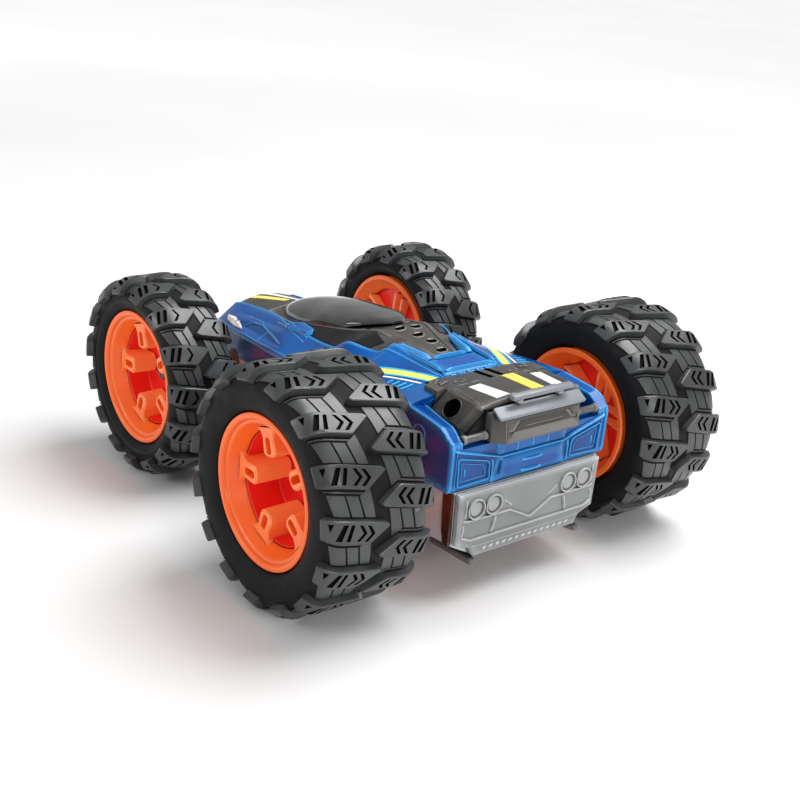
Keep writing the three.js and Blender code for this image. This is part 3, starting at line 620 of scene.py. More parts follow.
def rim_profile(width, lip, waist, disc):
    """The rim's section: rounded outer lip, step, tapered wall, waist and inner flare."""
    waist_end = min(disc + 8, width - 6)
    return [
        (lip - 1.4, 3.0), (lip - 0.2, 1.9), (lip, 1.0), (lip - 0.3, 0.35), (lip - 1.0, 0.0),
        (lip - 2.0, 0.05), (lip - 2.8, 0.5), (lip - 3.2, 1.3), (lip - 3.4, 1.9), (lip - 3.9, 1.9),
        (lip - 4.6, 2.1), (lip - 5.2, 2.8), (lip - 5.7, 4.0), (waist + 0.8, 7.4), (waist, 9.0),
        (waist, waist_end), (lip - 3, width - 1.0),
        (lip - 2.4, width), (lip - 0.6, width), (lip, width - 0.8), (lip - 0.2, width - 2.0),
        (lip - 1.4, width - 3.0),
    ]


def rim_post(waist, disc):
    """A post standing in from the wall, with an oval slot in its front and a web to the wall."""
    inner, front = 13.6, -6.6
    half = [
        (inner, 1.6), (inner + 0.7, 3.4), (inner + 2.2, 4.4), (19.0, 4.3), (22.0, 4.0),
        (24.2, 4.8), (25.6, 6.6), (waist + 0.9, 8.6),
    ]
    outline = half + [(r, -w) for r, w in reversed(half)]
    slot = rounded(rect(15.0, -1.8, 22.4, 1.8), 1.7, 4)
    return plate(outline, -disc + 0.2, front, 0.8, [slot], 5.5, 0.3)


def rim_rib(waist, disc, width):
    """A flat rib behind the disc, from the hub out to the barrel."""
    reach = min(10, width - disc - 5)
    back = [(6.5, disc + 2.7), (waist - 0.2, disc + 2.7), (waist - 0.2, disc + 2.7 + reach),
            (18.0, disc + 2.7 + 0.8 * reach), (6.5, disc + 2.7 + 0.4 * reach)]
    return plate(back, -0.7, 0.7, 0.25)


def turned(angle):
    """A warp that turns (outwards, round, height towards -y) places about the wheel's axis."""
    def warp(points):
        u, v, h = points.T
        c, s = math.cos(angle), math.sin(angle)
        return np.stack([u * c - v * s, -h, u * s + v * c], 1)
    return warp


def turned_rib(angle, shift):
    """A warp that turns (outwards, y, height) places, with the height shifted round the wheel."""
    turn = turned(angle)
    return lambda p: turn(np.stack([p[:, 0], p[:, 2] + shift, -p[:, 1]], 1))


def rim_shape(width, lip, waist, disc):
    """The turned rim with its five posts and the pair of ribs behind each."""
    shape = Shape().add(*lathe(rim_profile(width, lip, waist, disc), RIM_SEGMENTS))
    post = rim_post(waist, disc)
    rib = rim_rib(waist, disc, width)
    for i in range(POST_COUNT):
        angle = (i + 0.5) * 2 * math.pi / POST_COUNT
        shape.join(post.moved(turned(angle)))
        for shift in (-3.2, 3.2):
            shape.join(rib.moved(turned_rib(angle, shift)))
    return shape


def hub_shape(width, waist, disc):
    """The red disc with its drum wall and stepped boss in front and a hub tube behind."""
    edge = waist - 0.3
    boss = disc - HUB_BOSS_HEIGHT
    profile = [
        (2.3, boss), (6.0, boss), (6.6, boss + 0.6), (6.6, disc - 0.6), (8.0, disc), (11.0, disc),
        (11.6, disc + 0.5), (edge - 1.6, disc + 0.5), (edge - 1.1, disc), (edge - 0.7, 9.6),
        (edge - 0.3, 9.2), (edge, 9.6), (edge, disc + 2.6), (7.5, disc + 2.6), (6.2, disc + 4),
        (5.0, width - 2.4), (4.6, width - 2.0), (2.3, width - 2.0),
    ]
    return Shape().add(*lathe(profile, 72))


def screw_shape(disc):
    """A pan-head screw with a cross recess, in front of the hub's boss."""
    seat = disc - HUB_BOSS_HEIGHT - 0.3
    crown = [(4.0 * math.cos(a), seat - 1.5 - 0.9 * math.sin(a)) for a in np.linspace(0, 1.25, 6)]
    shape = Shape().add(*lathe([(0.35, seat), (4.0, seat)] + crown + [(0.35, seat - 2.4)], 36))
    arm, half = 2.1, 0.42
    cross = [(arm, half), (half, half), (half, arm), (-half, arm), (-half, half), (-arm, half),
             (-arm, -half), (-half, -half), (-half, -arm), (half, -arm), (half, -half), (arm, -half)]
    face = plate(circle(0, 0, 3.0, 24), -seat + 1.3, -seat + 2.55, 0.15, [cross], 0.9, recess_shade_paint=1)
    return shape.join(face.moved(turned(0)))


def to_car(node):
    """A warp from a wheel's own frame to the car's, read off its CAD rim."""
    low, high = box_mm(node)
    centre = (low + high) / 2
    right = centre[1] > 0
    lip = high[1] if right else low[1]
    turn = -1 if right else 1

    def warp(points):
        x, y, z = points.T
        return np.stack([centre[0] + turn * x, lip + turn * y, centre[2] + z], 1)
    return warp


def build_wheel(name):
    """The four visible pieces of one wheel, sized from its CAD rim, disc and tyre."""
    end = name.split("_")[0]
    low, high = box_mm(f"rim_{name}")
    width = high[1] - low[1]
    lip = (high[0] - low[0]) / 2
    disc_low, disc_high = box_mm(f"hub_disc_{name}")
    waist = (disc_high[0] - disc_low[0]) / 2 + 0.3
    boss = high[1] - disc_high[1] if low[1] > 0 else disc_low[1] - low[1]
    disc = boss + HUB_BOSS_HEIGHT
    tyre_low, tyre_high = box_mm(f"tyre_{name}")
    radius = (tyre_high[2] - tyre_low[2]) / 2
    warp = to_car(f"rim_{name}")
    body = f"wheel_{name}"
    tyre = tyre_shape(end, width, radius, lip + 0.3)
    parts = (
        ("tread", "tyre", "tyre", tyre, ["sidewall", "tread_mark_shade", "tread"]),
        ("orange_rim", "rim", "orange_rim", rim_shape(width, lip, waist, disc), ["orange"]),
        ("red_disc", "hub_disc", "red_hub", hub_shape(width, waist, disc), ["red"]),
        ("screw", "wheel_screw", "black_plastic", screw_shape(disc), ["black", "pit_shade"]),
    )
    for label, node, slot, shape, paints in parts:
        piece(f"{label}_{name}", shape.moved(warp), slot, paints, [f"{node}_{name}"], body)


# ---------------------------------------------------------------- ridges and stickers

def densified(path, step):
    """An open path with points added so that no stretch is longer than step."""
    result = []
    for a, b in zip(path, path[1:]):
        parts = max(1, math.ceil(math.dist(a, b) / step))
        result += [tuple(p) for p in np.linspace(a, b, parts + 1)[:-1]]
    return result + [tuple(path[-1])]


def ridge(path, width, height, closed=False, step=2.0):
    """A rounded ridge along a path of (u, v) that stands up from height 0; its foot is sunk."""
    points = refined(path, step) if closed else densified(path, step)
    section = [(1, -0.5), (0.85, 0.45), (0.4, 0.95), (-0.4, 0.95), (-0.85, 0.45), (-1, -0.5)]
    count = len(points)
    rows = []
    for i, here in enumerate(points):
        last = points[i - 1] if closed or i else here
        after = points[(i + 1) % count] if closed or i + 1 < count else here
        along = (Vector(after) - Vector(last)).normalized()
        end = not closed and i in (0, count - 1)
        rise = 0.2 * height if end else height
        rows.append([(here[0] - s * along.y * width / 2, here[1] + s * along.x * width / 2, h * rise)
                     for s, h in section])
    if closed:
        return Shape().add(*grid(rows, close_across=True, close_along=True))
    return Shape().add(*loft(rows))


def ridges(warp, lines):
    """Open ridges, each given as (path, width, height), laid on a surface by a warp."""
    shape = Shape()
    for path, width, height in lines:
        shape.join(ridge(path, width, height).moved(warp))
    return shape


def circle(u, v, radius, steps=32):
    """A closed anticlockwise loop round (u, v)."""
    turns = np.linspace(0, 2 * math.pi, steps + 1)[:-1]
    return [(u + radius * math.cos(a), v + radius * math.sin(a)) for a in turns]


def sticker(outline, step=3.0):
    """A film a fifth of a millimetre thick, a little sunk into what it is stuck on."""
    return plate(outline, -0.3, 0.22, step=step)


def across(loop):
    """An outline of (y, z) with the other half of its places mirrored across y = 0."""
    return list(loop) + [(-y, z) for y, z in reversed(loop)]


def symmetric(path):
    """A path of (x, y) and back along its mirror image across y = 0."""
    return path + [(x, -y) for x, y in reversed(path)]


def over(height_at):
    """A warp from (x, y, height) to the surface whose z is height_at(x, y)."""
    return lambda p: np.stack([p[:, 0], p[:, 1], height_at(p[:, 0], p[:, 1]) + p[:, 2]], 1)


def lifted(warp, rise):
    """The same warp with every place that much higher off its surface."""
    return lambda p: warp(p + np.array([0, 0, rise]))


def facing_front(x):
    """A warp from (-y, z, height) to a plane across the car that faces -X."""
    return lambda p: np.stack([x - p[:, 2], -p[:, 0], p[:, 1]], 1)


def facing_rear(x):
    """A warp from (y, z, height) to a plane across the car that faces +X."""
    return lambda p: np.stack([x + p[:, 2], p[:, 0], p[:, 1]], 1)


def facing_side(y):
    """A warp from (x, z, height) to a plane along the car that faces -Y."""
    return lambda p: np.stack([p[:, 0], y - p[:, 2], p[:, 1]], 1)


def follow(xs, values, x):
    """A smooth curve through values at xs that never overshoots them."""
    xs, values = np.asarray(xs, float), np.asarray(values, float)
    gaps = np.diff(xs)
    slopes = np.diff(values) / gaps
    tangent = np.zeros_like(values)
    tangent[0], tangent[-1] = slopes[0], slopes[-1]
    same = slopes[:-1] * slopes[1:] > 0
    safe = np.where(same, slopes[:-1] + slopes[1:], 1)
    tangent[1:-1] = np.where(same, 2 * slopes[:-1] * slopes[1:] / safe, 0)
    i = np.clip(np.searchsorted(xs, x, side="right") - 1, 0, len(gaps) - 1)
    t = (x - xs[i]) / gaps[i]
    return ((2 * t ** 3 - 3 * t ** 2 + 1) * values[i]
            + (t ** 3 - 2 * t ** 2 + t) * gaps[i] * tangent[i]
            + (3 * t ** 2 - 2 * t ** 3) * values[i + 1] + (t ** 3 - t ** 2) * gaps[i] * tangent[i + 1])


def measures_at(stations, x):
    """Every measure of the stations at x, smooth between them; each station starts with its x."""
    table = np.array(stations, float)
    return [follow(table[:, 0], column, x) for column in table.T[1:]]


def sloping(lines_at, out=1):
    """A warp from (x, part of the way, height) to the slope between two lines along the car.

    lines_at(x) gives y and z on the first line and on the second; out is the height's sign.
    """
    def warp(points):
        x, t, h = points.T
        y0, z0, y1, z1 = lines_at(x)
        run, rise = y1 - y0, z1 - z0
        off = out * h / np.hypot(run, rise)
        return np.stack([x, y0 + run * t - off * rise, z0 + rise * t + off * run], 1)
    return warp


# ---------------------------------------------------------------- the blue upper body

# Stations of the blue shell: x, floor y, floor z, edge z, shoulder y, shoulder z, side y. The
# floor is the sunk middle, and the edge is the top of its step. They follow the CAD part, but for
# the edge beside the canopy, which has a bump and a dip near x = 13.5 and x = 27.5.
BLUE_FRONT = (
    (-112, 15, 66, 68.5, 26, 61, 27),
    (-107, 16.5, 70, 72.5, 30, 64, 31),
    (-88, 16.3, 72.4, 75, 36, 67, 37),
    (-60, 20, 75.2, 78.5, 38.5, 68.3, 39.5),
    (-42, 25.5, 76.4, 79.8, 40, 69, 41),
    (-22, 27.5, 77.4, 80.6, 41.3, 70.5, 42.3),
    (1, 29.6, 79.8, 82.9, 43.1, 74, 44.1),
    (13.5, 28.4, 81.8, 89.2, 43.8, 76, 44.9),
    (27.5, 22.8, 85, 87.9, 44.8, 78.7, 45.9),
    (33.5, 17.8, 86, 93.2, 45.3, 80, 46.5),
    (50, 16.6, 86, 90.4, 46.7, 83.5, 47.5),
    (69, 16.6, 86, 88.4, 47.9, 85, 48.4),
)
BLUE_DECK = (
    (69.5, 29.7, 86, 88.2, 47.9, 85, 48.4),
    (82, 29.7, 86, 88, 48.6, 85.6, 48.8),
)
BLUE_REAR = (
    (82.5, 39, 74.5, 84, 48.6, 85.6, 48.8),
    (104, 42.2, 74.5, 82.5, 49, 83.6, 49),
    (111.5, 42.2, 74.5, 78, 49.1, 79, 48.9),
    (112.3, 42.2, 74.5, 77.5, 48.8, 78.3, 48.8),
)
PARTING_Z = 55.2
EDGE_LAND = 1.4
SHOULDER_ROUND = 1.6
BLUE_WALL = 1.5


def blue_at(x):
    """The seven measures of the blue shell at each x, smooth between its stations."""
    x = np.asarray(x, float)
    result = np.zeros((7,) + x.shape)
    result[0] = x
    for stations, low, high in ((BLUE_FRONT, -999, 69.25), (BLUE_DECK, 69.25, 82.25),
                                (BLUE_REAR, 82.25, 999)):
        here = (x >= low) & (x < high)
        place = np.clip(x, stations[0][0], stations[-1][0])
        result[1:] = np.where(here, measures_at(stations, place), result[1:])
    return result


def leaf_relief(x, y):
    """How far the leaf-shaped hollow and the long facet above it sink the front fender."""
    t = np.clip((x + 84) / 50, 0, 1)
    middle = 30.2 + 6.0 * t
    half = 4.6 * np.sin(np.pi * t) ** 0.7
    hollow = 1.3 * np.clip(1 - np.abs(y - middle) / np.maximum(half, 0.01), 0, 1)
    low = np.clip((x + 100) / 20, 0, 1) * np.clip((-24 - x) / 14, 0, 1)
    facet_y = 23.6 + 5.5 * np.clip((x + 80) / 50, 0, 1)
    facet = 0.8 * low * np.clip(1 - np.abs(y - facet_y) / 3.2, 0, 1)
    return -hollow - facet


def fender_z(x, y):
    """The height of the slope between the step's edge and the shoulder, for y on the right."""
    _, floor_y, _, edge_z, shoulder_y, shoulder_z, _ = blue_at(x)
    start = floor_y + EDGE_LAND
    t = (y - start) / (shoulder_y - start)
    straight = edge_z + (shoulder_z - edge_z) * t
    return straight + leaf_relief(x, y) * (np.asarray(x) < 20)


def on_fender(points):
    """A warp from (x, y, height) to the fender's slope on the right."""
    x, y, h = points.T
    d = 0.4
    rise_x = (fender_z(x + d, y) - fender_z(x - d, y)) / (2 * d)
    rise_y = (fender_z(x, y + d) - fender_z(x, y - d)) / (2 * d)
    long = np.sqrt(1 + rise_x ** 2 + rise_y ** 2)
    return np.stack([x - h * rise_x / long, y - h * rise_y / long, fender_z(x, y) + h / long], 1)


def blue_half(x):
    """The right half of the blue shell's section at x, from the middle to the parting line."""
    _, floor_y, floor_z, edge_z, shoulder_y, shoulder_z, side_y = blue_at(x)
    half = [
        (0, floor_z), (0.5 * floor_y, floor_z), (floor_y - 0.5, floor_z), (floor_y, floor_z + 0.5),
        (floor_y + 0.1, edge_z - 0.5), (floor_y + 0.4, edge_z), (floor_y + EDGE_LAND, edge_z),
    ]
    slope = np.linspace(floor_y + EDGE_LAND, shoulder_y - SHOULDER_ROUND, 25)[1:]
    half += list(zip(slope, fender_z(np.full_like(slope, x), slope)))
    top = half[-1][1]
    low = min(shoulder_z, top) - SHOULDER_ROUND
    half += [(shoulder_y - 0.5, top - 0.35), (shoulder_y - 0.05, low + 0.3)]
    for t in np.linspace(0, 1, 9)[1:]:
        half.append((shoulder_y + (side_y - shoulder_y) * t, low + (PARTING_Z - low) * t))
    return [(float(y), float(z)) for y, z in half]


def blue_rings():
    """The shell's sections along the car, each from its right parting line to its left one."""
    places = list(np.arange(-112, 69, 1.5)) + [69.0, 69.5, 75.0, 82.0, 82.5]
    places += list(np.arange(84, 111.6, 1.5)) + [111.5, 112.3]
    rings = []
    for x in places:
        half = blue_half(x)
        rings.append([(x, y, z) for y, z in reversed(half)] + [(x, -y, z) for y, z in half[1:]])
    return rings


def end_cap(ring, flip):
    """Faces that close a ring of the shell down to the parting line."""
    points, triangles = filled([anticlockwise([(y, z) for _, y, z in ring])], 2.5)
    faces = [tuple(reversed(t)) if flip else t for t in triangles]
    return Shape().add([(ring[0][0], y, z) for y, z in points], faces)


def fender_lines():
    """Raised lines on the right: creases and thin lines on the fenders, and a ring on the side."""
    shape = ridges(on_fender, [
        ([(-84, 33.2), (-72, 28.4), (-64, 28.4), (-36, 36)], 0.9, 0.45),
        ([(-82, 24.8), (-66, 26.4)], 0.8, 0.4),
        ([(-56, 22.2), (-22, 29.6)], 0.6, 0.3),
        ([(-56, 24.4), (-22, 31.8)], 0.6, 0.3),
        ([(28, 24), (50, 20), (66, 18.4)], 1.3, 0.5),
        ([(-56, 31), (-56, 37)], 0.6, 0.3),
    ])
    ring = ridge(circle(91, 75.4, 4.0), 0.7, 0.35, closed=True)
    return shape.join(mirrored_shape(ring.moved(facing_side(-48.9))))


def edge_beads():
    """A bright bead along the top of each step and one along the shoulder."""
    def on_shoulder(p):
        measures = blue_at(p[:, 0])
        return np.stack([p[:, 0], measures[4] - 0.3 + 0.6 * p[:, 2] + 0.7 * p[:, 1],
                         measures[5] - 0.9 + 0.6 * p[:, 2] - 0.7 * p[:, 1]], 1)

    shape = Shape()
    for low, high in ((-105, 68.6), (83, 111)):
        path = [(x, blue_at(x)[1] + 0.7) for x in np.arange(low, high, 2.0)]
        on_edge = over(lambda x, y: blue_at(x)[3])
        shape.join(ridge(path, 1.2, 0.5, step=9).moved(on_edge))
    path = [(x, 0.0) for x in np.arange(-106, 112, 3.0)]
    return shape.join(ridge(path, 1.1, 0.5, step=9).moved(on_shoulder))


def side_flap():
    """The notched blue flap that laps over the black surround beside the canopy."""
    corners = [(-45, 25.0), (-36, 21.6), (-24.6, 23.6), (-22.4, 26.2), (-24.4, 28.8), (-45, 27.4)]
    lapped = over(lambda x, y: 79.5 + 0.1 * (x + 45) + 0.36 * (27 - y))
    shape = plate(rounded(corners, 0.3, 2), -3.0, 0.5, 0.2, step=1.4).moved(lapped)
    border = [(-44, 25.2), (-36, 22.1), (-25.2, 24.1), (-23.1, 26.2), (-24.6, 28.4)]
    return shape.join(ridge(border, 0.6, 0.8).moved(lapped))


REAR_WALL_X = 112.2


def rear_wall():
    """The blue rear panel: a proud middle, a step line, lamp outlines, posts and gussets."""
    low = PARTING_Z + 0.4
    shape = Shape()
    middle = [(-22, low), (22, low), (19.6, 66.4), (-19.6, 66.4)]
    upper = [(-21, 67.2), (21, 67.2), (22.5, 74.2), (-22.5, 74.2)]
    for outline, height, bevel, flare in ((middle, 1.2, 0.6, 2.4), (upper, 0.7, 0.4, 1.2)):
        panel = plate(outline, -0.6, height, bevel, flare=flare, step=2.5)
        shape.join(panel.moved(facing_rear(REAR_WALL_X)))
    on_wall = facing_rear(REAR_WALL_X + 0.1)
    step_line = [(-46.8, 74.6), (-19.6, 67.0), (19.6, 67.0), (46.8, 74.6)]
    shape.join(ridge(step_line, 1.3, 1.5).moved(on_wall))
    bars = [([(-6.4, z), (6.4, z)], 1.4, 1.0) for z in (57.4, 62.8)]
    shape.join(ridges(facing_rear(REAR_WALL_X + 1.25), bars))
    posts = [([(y, 68.2), (y, 74)], 0.8, 0.4) for y in (-9.5, 0, 9.5)]
    shape.join(ridges(facing_rear(REAR_WALL_X + 0.7), posts))
    lamp = [(44.4, 70.8), (27.4, 66.6), (25.6, 65.0), (25.2, 57.6), (43.6, 57.0)]
    inner = [(42.2, 68.2), (29.4, 65.0), (27.8, 62.4), (27.8, 59.6), (41.6, 59.2)]
    for side in (-1, 1):
        for outline, radius, width, height in ((lamp, 1.6, 1.0, 0.9), (inner, 1.2, 0.5, 0.4)):
            ring = rounded([(side * y, z) for y, z in outline], radius)
            shape.join(ridge(ring, width, height, closed=True).moved(on_wall))
        shape.join(ridges(on_wall, [
            ([(side * 39.6, 64.8), (side * 39.6, 61.2)], 0.7, 0.5),
            ([(side * 47.7, 77.4), (side * 47.7, low)], 1.8, 0.9),
            ([(side * 45.2, 77), (side * 45.0, low)], 0.7, 0.4),
            ([(side * 23.6, 66), (side * 23.6, low)], 1.2, 0.8),
        ]))
    return shape


def build_blue_body():
    """The hollow blue shell, and the raised lines on it."""
    rings = blue_rings()
    shell = Shape().add(*grid(rings))
    shell.join(end_cap(rings[0], True)).join(end_cap(rings[-1], False))
    piece("blue_shell", shell, "blue_shell", ["blue"], ["upper_shell"], solid=BLUE_WALL, sharp=28)
    right = fender_lines().join(edge_beads()).join(side_flap())
    lines = both_sides(right).join(rear_wall())
    piece("blue_shell_ridges", lines, "blue_shell", ["blue"], sharp=50)


# ---------------------------------------------------------------- roof, hood and canopy

ROOF_REAR_X = 68.6


def roof_z(x, _y):
    """The roof frame's top, which falls a little to the rear."""
    return 92.4 - 0.058 * (x - 33)


def build_roof_frame():
    """The U-shaped frame between the tail and the deck, with raised arms and a beaded cross-bar."""
    on_roof = over(roof_z)
    outline = symmetric([(33.4, 15.6), (60, 15.8), (ROOF_REAR_X, 16.2)])
    outline += symmetric([(35.5, -14.9), (51.6, -10.2)])
    shape = plate(rounded(outline, 1.0, 2), -5.4, -0.6, 1.0, step=3.0).moved(on_roof)
    lines = [
        ([(52.6, -10), (52.6, 10)], 1.2, 1.2),
        ([(66.8, -14.6), (66.8, 14.6)], 1.6, 1.2),
    ]
    for side in (-1, 1):
        lines.append(([(33.6, side * 16.2), (53, side * 12.4)], 3.2, 1.6))
        lines.append(([(34.5, side * 17.6), (66, side * 16.4)], 1.4, 1.1))
    shape.join(ridges(on_roof, lines))
    on_rear = facing_rear(ROOF_REAR_X)
    shape.join(plate(across([(12.6, 86.9), (13.2, 88.8)]), -1.2, 0.5, 0.2).moved(on_rear))
    for y in (-8.4, -2.8, 2.8, 8.4):
        shape.join(plate(rect(y - 0.5, 86.6, y + 0.5, 89.4), -0.4, 0.9, 0.2).moved(on_rear))
    piece("blue_roof_frame", shape, "blue_shell", ["blue"], ["roof_frame"], sharp=50)


HOOD_X = (-106, -75.4)
HOOD_GAP = 0.5


def hood_z(x, y):
    """The hood's height: a shallow crown that rises from the step's edge to the middle."""
    _, floor_y, _, edge_z, _, _, _ = blue_at(x)
    t = np.clip(np.abs(y) / floor_y, 0, 1)
    return edge_z - 0.1 + (3.2 - 0.02 * (x + 106)) * (1 - t ** 1.7)


on_hood = over(hood_z)


def build_hood():
    """The black hood, cut to fit the step, with its two stripes."""
    left = [(x, HOOD_GAP - float(blue_at(x)[1])) for x in np.linspace(*HOOD_X, 9)]
    shape = plate(symmetric(left), -2.2, 0, 0.4, step=2.2).moved(on_hood)
    piece("black_hood", shape, "black_plastic", ["satin"], ["hood_panel"], sharp=50)
    stripes = {
        "yellow": [(-104.2, -10.4), (-83.4, -2.2), (-84.2, 2.0), (-104.8, -6.8)],
        "white": [(-105, -3.2), (-81.6, 6.0), (-82.4, 10.2), (-105.2, 1.2)],
    }
    for colour, corners in stripes.items():
        piece(f"{colour}_hood_stripe", sticker(corners).moved(on_hood), "lens", [colour])


# The canopy's half-width, lower edge and ridge along X: the lower edge is sunk into the surround.
CANOPY = (
    (-74, 4, 78.4, 79.5),
    (-71, 9.5, 78, 82),
    (-66, 13.5, 77.4, 84.8),
    (-58, 16.5, 77.7, 88),
    (-45, 19, 79.9, 91.5),
    (-28, 20, 83.4, 94.5),
    (-12, 19.3, 86.8, 96),
    (-2, 16.0, 91, 96.6),
    (7, 9.5, 93.6, 96.4),
    (12.5, 3.4, 94.8, 95.8),
)


def canopy_ring(x):
    """The canopy's arched section at x."""
    half, low, high = measures_at(CANOPY, x)
    ring = []
    for angle in np.linspace(0, math.pi, 41):
        y = half * math.copysign(abs(math.cos(angle)) ** 0.9, math.cos(angle))
        ring.append((float(x), y, low + (high - low) * math.sin(angle) ** 0.92))
    return ring


def build_canopy():
    """The glossy canopy, with its sections closer together towards its two ends."""
    ends = (CANOPY[0][0], CANOPY[-1][0])
    middle = 0.5 * (ends[0] + ends[1])
    reach = 0.5 * (ends[1] - ends[0])
    places = [middle - reach * math.cos(a) for a in np.linspace(0, math.pi, 70)]
    shape = Shape().add(*loft([canopy_ring(x) for x in places]))
    piece("canopy_glass", shape, "gloss_black", ["gloss_black"], ["canopy"], sharp=60)


# The surround's top along X: its height and half-width.
SURROUND = (
    (-75, 77.2, 12),
    (-66, 77.4, 15),
    (-58, 78.2, 17),
    (-45, 80.6, 19.5),
    (-28, 84.2, 20.5),
    (-12, 87.6, 19.8),
    (2, 90.6, 17),
    (12, 93.2, 14),
    (18, 94.6, 13),
    (32.5, 93.2, 9),
    (50.6, 90.6, 6),
)
TAIL_X = (4.0, 51.0)


def surround_at(x):
    """Top height, top half-width, edge half-width and edge height of the surround at x."""
    top, half = measures_at(SURROUND, x)
    _, floor_y, _, edge_z, _, _, _ = blue_at(x)
    tail = np.clip((x - 33) / 17.6, 0, 1)
    edge = np.where(x > 33, 15.0 - 5.4 * tail, floor_y - 0.5)
    low = np.where(x > 33, top - 1.8, np.minimum(edge_z, top) - 0.2)
    return top, np.minimum(half, edge - 1), edge, low


def surround_side(x):
    """The surround's right side at x: y and z at its top and at its edge."""
    top, half, edge, low = surround_at(x)
    return half, top, edge, low


on_surround_side = sloping(surround_side)


def tail_z(x, y):
    """The tail's top: a shallow crown that is highest along its middle."""
    top, half, _, _ = surround_at(x)
    return top + 0.5 - 1.1 * np.clip(np.abs(y) / np.maximum(half, 1), 0, 1.3) ** 2


on_tail = over(tail_z)


def surround_rings():
    """The surround's sections: its top is sunk under the tail, where the vented plate lies."""
    rings = []
    for x in list(np.arange(-75, 33, 2.0)) + [33.0, 38.0, 44.0, 50.8]:
        top, half, edge, low = (float(v) for v in surround_at(np.float64(x)))
        base = float(blue_at(x)[2]) + 0.3 if x < 33 else 86.3
        sunk = 1.8 if x > TAIL_X[0] else 0.0
        right = [(edge, base), (edge, low - 0.4), (edge - 0.3, low), (half + 0.5, top - 0.3),
                 (half - 0.4, top), (half - 1.6, top - sunk)]
        rings.append([(x, y, z) for y, z in across(right)])
    return rings


VENTS = ((20.0, -4.6), (21.0, 4.6), (29.4, -0.6), (37.2, 1.6), (46.4, 0.2))
VENT_LENGTH = 7.4
VENT_WIDTH = 4.6
VENT_TURN = 0.25


def vent(x, y):
    """A hexagonal vent across the car, turned a little towards its left rear."""
    half, nose = VENT_LENGTH / 2, VENT_WIDTH / 2
    point = half - 1.8
    corners = [(0.2, -half), (nose, -point), (nose, point), (-0.2, half), (-nose, point), (-nose, -point)]
    return [(x + u, y + v - VENT_TURN * u) for u, v in corners]


def build_surround():
    """The black surround with its vented tail, and the smoked side windows."""
    shape = Shape().add(*loft(surround_rings()))
    left = [(float(x), -float(surround_at(x)[1]) - 0.2) for x in np.linspace(*TAIL_X, 15)]
    left[0] = (TAIL_X[0], -6.0)
    holes = [vent(x, y) for x, y in VENTS]
    tail = plate(symmetric(left), -1.5, 0, 0.5, holes, 1.3, step=2.4, recess_shade_paint=1)
    shape.join(tail.moved(on_tail))
    for hole in holes:
        shape.join(ridge(hole[:4], 0.9, 0.4, step=4).moved(on_tail))
        shape.join(ridge([hole[5], hole[4]], 1.1, 1.0, step=4).moved(on_tail))
    crease = [(-58, 0.08), (-40, 0.1), (-12, 0.06), (8, 0.06), (24, 0.16)]
    shape.join(both_sides(ridge(crease, 0.10, 0.5, step=3).moved(on_surround_side)))
    piece("black_surround", shape, "black_plastic", ["satin", "pit_shade"], ["canopy_surround"], sharp=45)
    window = [
        (-38, 0.36), (-33.5, 0.5), (-36, 0.64), (-30.5, 0.78), (-32, 0.94), (-4, 0.94), (22, 0.94),
        (24.5, 0.5), (16, 0.2), (-8, 0.14), (-30, 0.2),
    ]
    glass = both_sides(plate(window, -0.4, 0.35, step=2.0).moved(on_surround_side))
    piece("side_windows", glass, "gloss_black", ["window"], sharp=45)


def side_stickers():
    """The arc of stickers on each rear fender: yellow, cyan edges, a white line and cyan dashes."""
    def arc(x, shift, fan=0.0):
        return 36.0 - (0.52 - fan) * (x - 42.8) + shift

    def band(low, high, start=31.0, fan=0.0):
        xs = np.linspace(start, 68.0, 14)
        return [(float(x), float(arc(x, low, fan))) for x in xs] + [
            (float(x), float(arc(x, high, fan))) for x in reversed(xs)]

    yield "yellow_fender_arc", "yellow", [band(-2.3, 2.2)]
    dashes = [band(-3.8, -2.6), band(2.5, 3.5, 35)]
    for i in range(5):
        x = 56 + 3.2 * i
        y = float(arc(x, 6.6, 0.1))
        dashes.append([(x, y), (x + 0.9, y), (x + 1.2, 40.6), (x + 0.3, 40.6)])
    yield "cyan_fender_arc", "cyan", dashes
    yield "white_fender_arc", "white", [band(4.2, 5.4, 39, 0.08)]


def build_stickers():
    """One piece for each colour of the arcs, on both sides of the car."""
    for name, paint, outlines in side_stickers():
        shape = Shape()
        for outline in outlines:
            shape.join(sticker(outline, 2.0).moved(on_fender))
        piece(name, both_sides(shape), "lens", [paint])


def build_headlamps():
    """Slim pale lamps let into the fenders, each with a raised line along its middle."""
    corners = [(-99, 27.6), (-90, 28.4), (-79, 32.4), (-73.6, 35.0), (-83, 34.6), (-94, 31.6)]
    shape = plate(rounded(corners, 1.2), -0.6, 0.9, 0.4, step=2.0).moved(on_fender)
    line = ridge([(-96, 29.6), (-88, 31), (-78, 33.8)], 0.6, 0.35)
    shape.join(line.moved(lifted(on_fender, 0.9)))
    for side, part in (("right", shape), ("left", mirrored_shape(shape))):
        piece(f"lamp_{side}", part, "lens", ["lens"], [f"headlamp_{side}"], sharp=50)


# ---------------------------------------------------------------- engine deck and rear fittings

def deck_z(x, y):
    """The deck's top: a gentle slope that rises to the rear and falls a little to its sides."""
    fall = np.interp(x, (72, 106), (0.0007, 0.0029))
    return np.interp(x, (70, 83, 86, 108), (89.4, 90.6, 92.0, 93.1)) - fall * np.square(y)


on_deck = over(deck_z)


WHITE_PATCH_SHIFT = 1.6


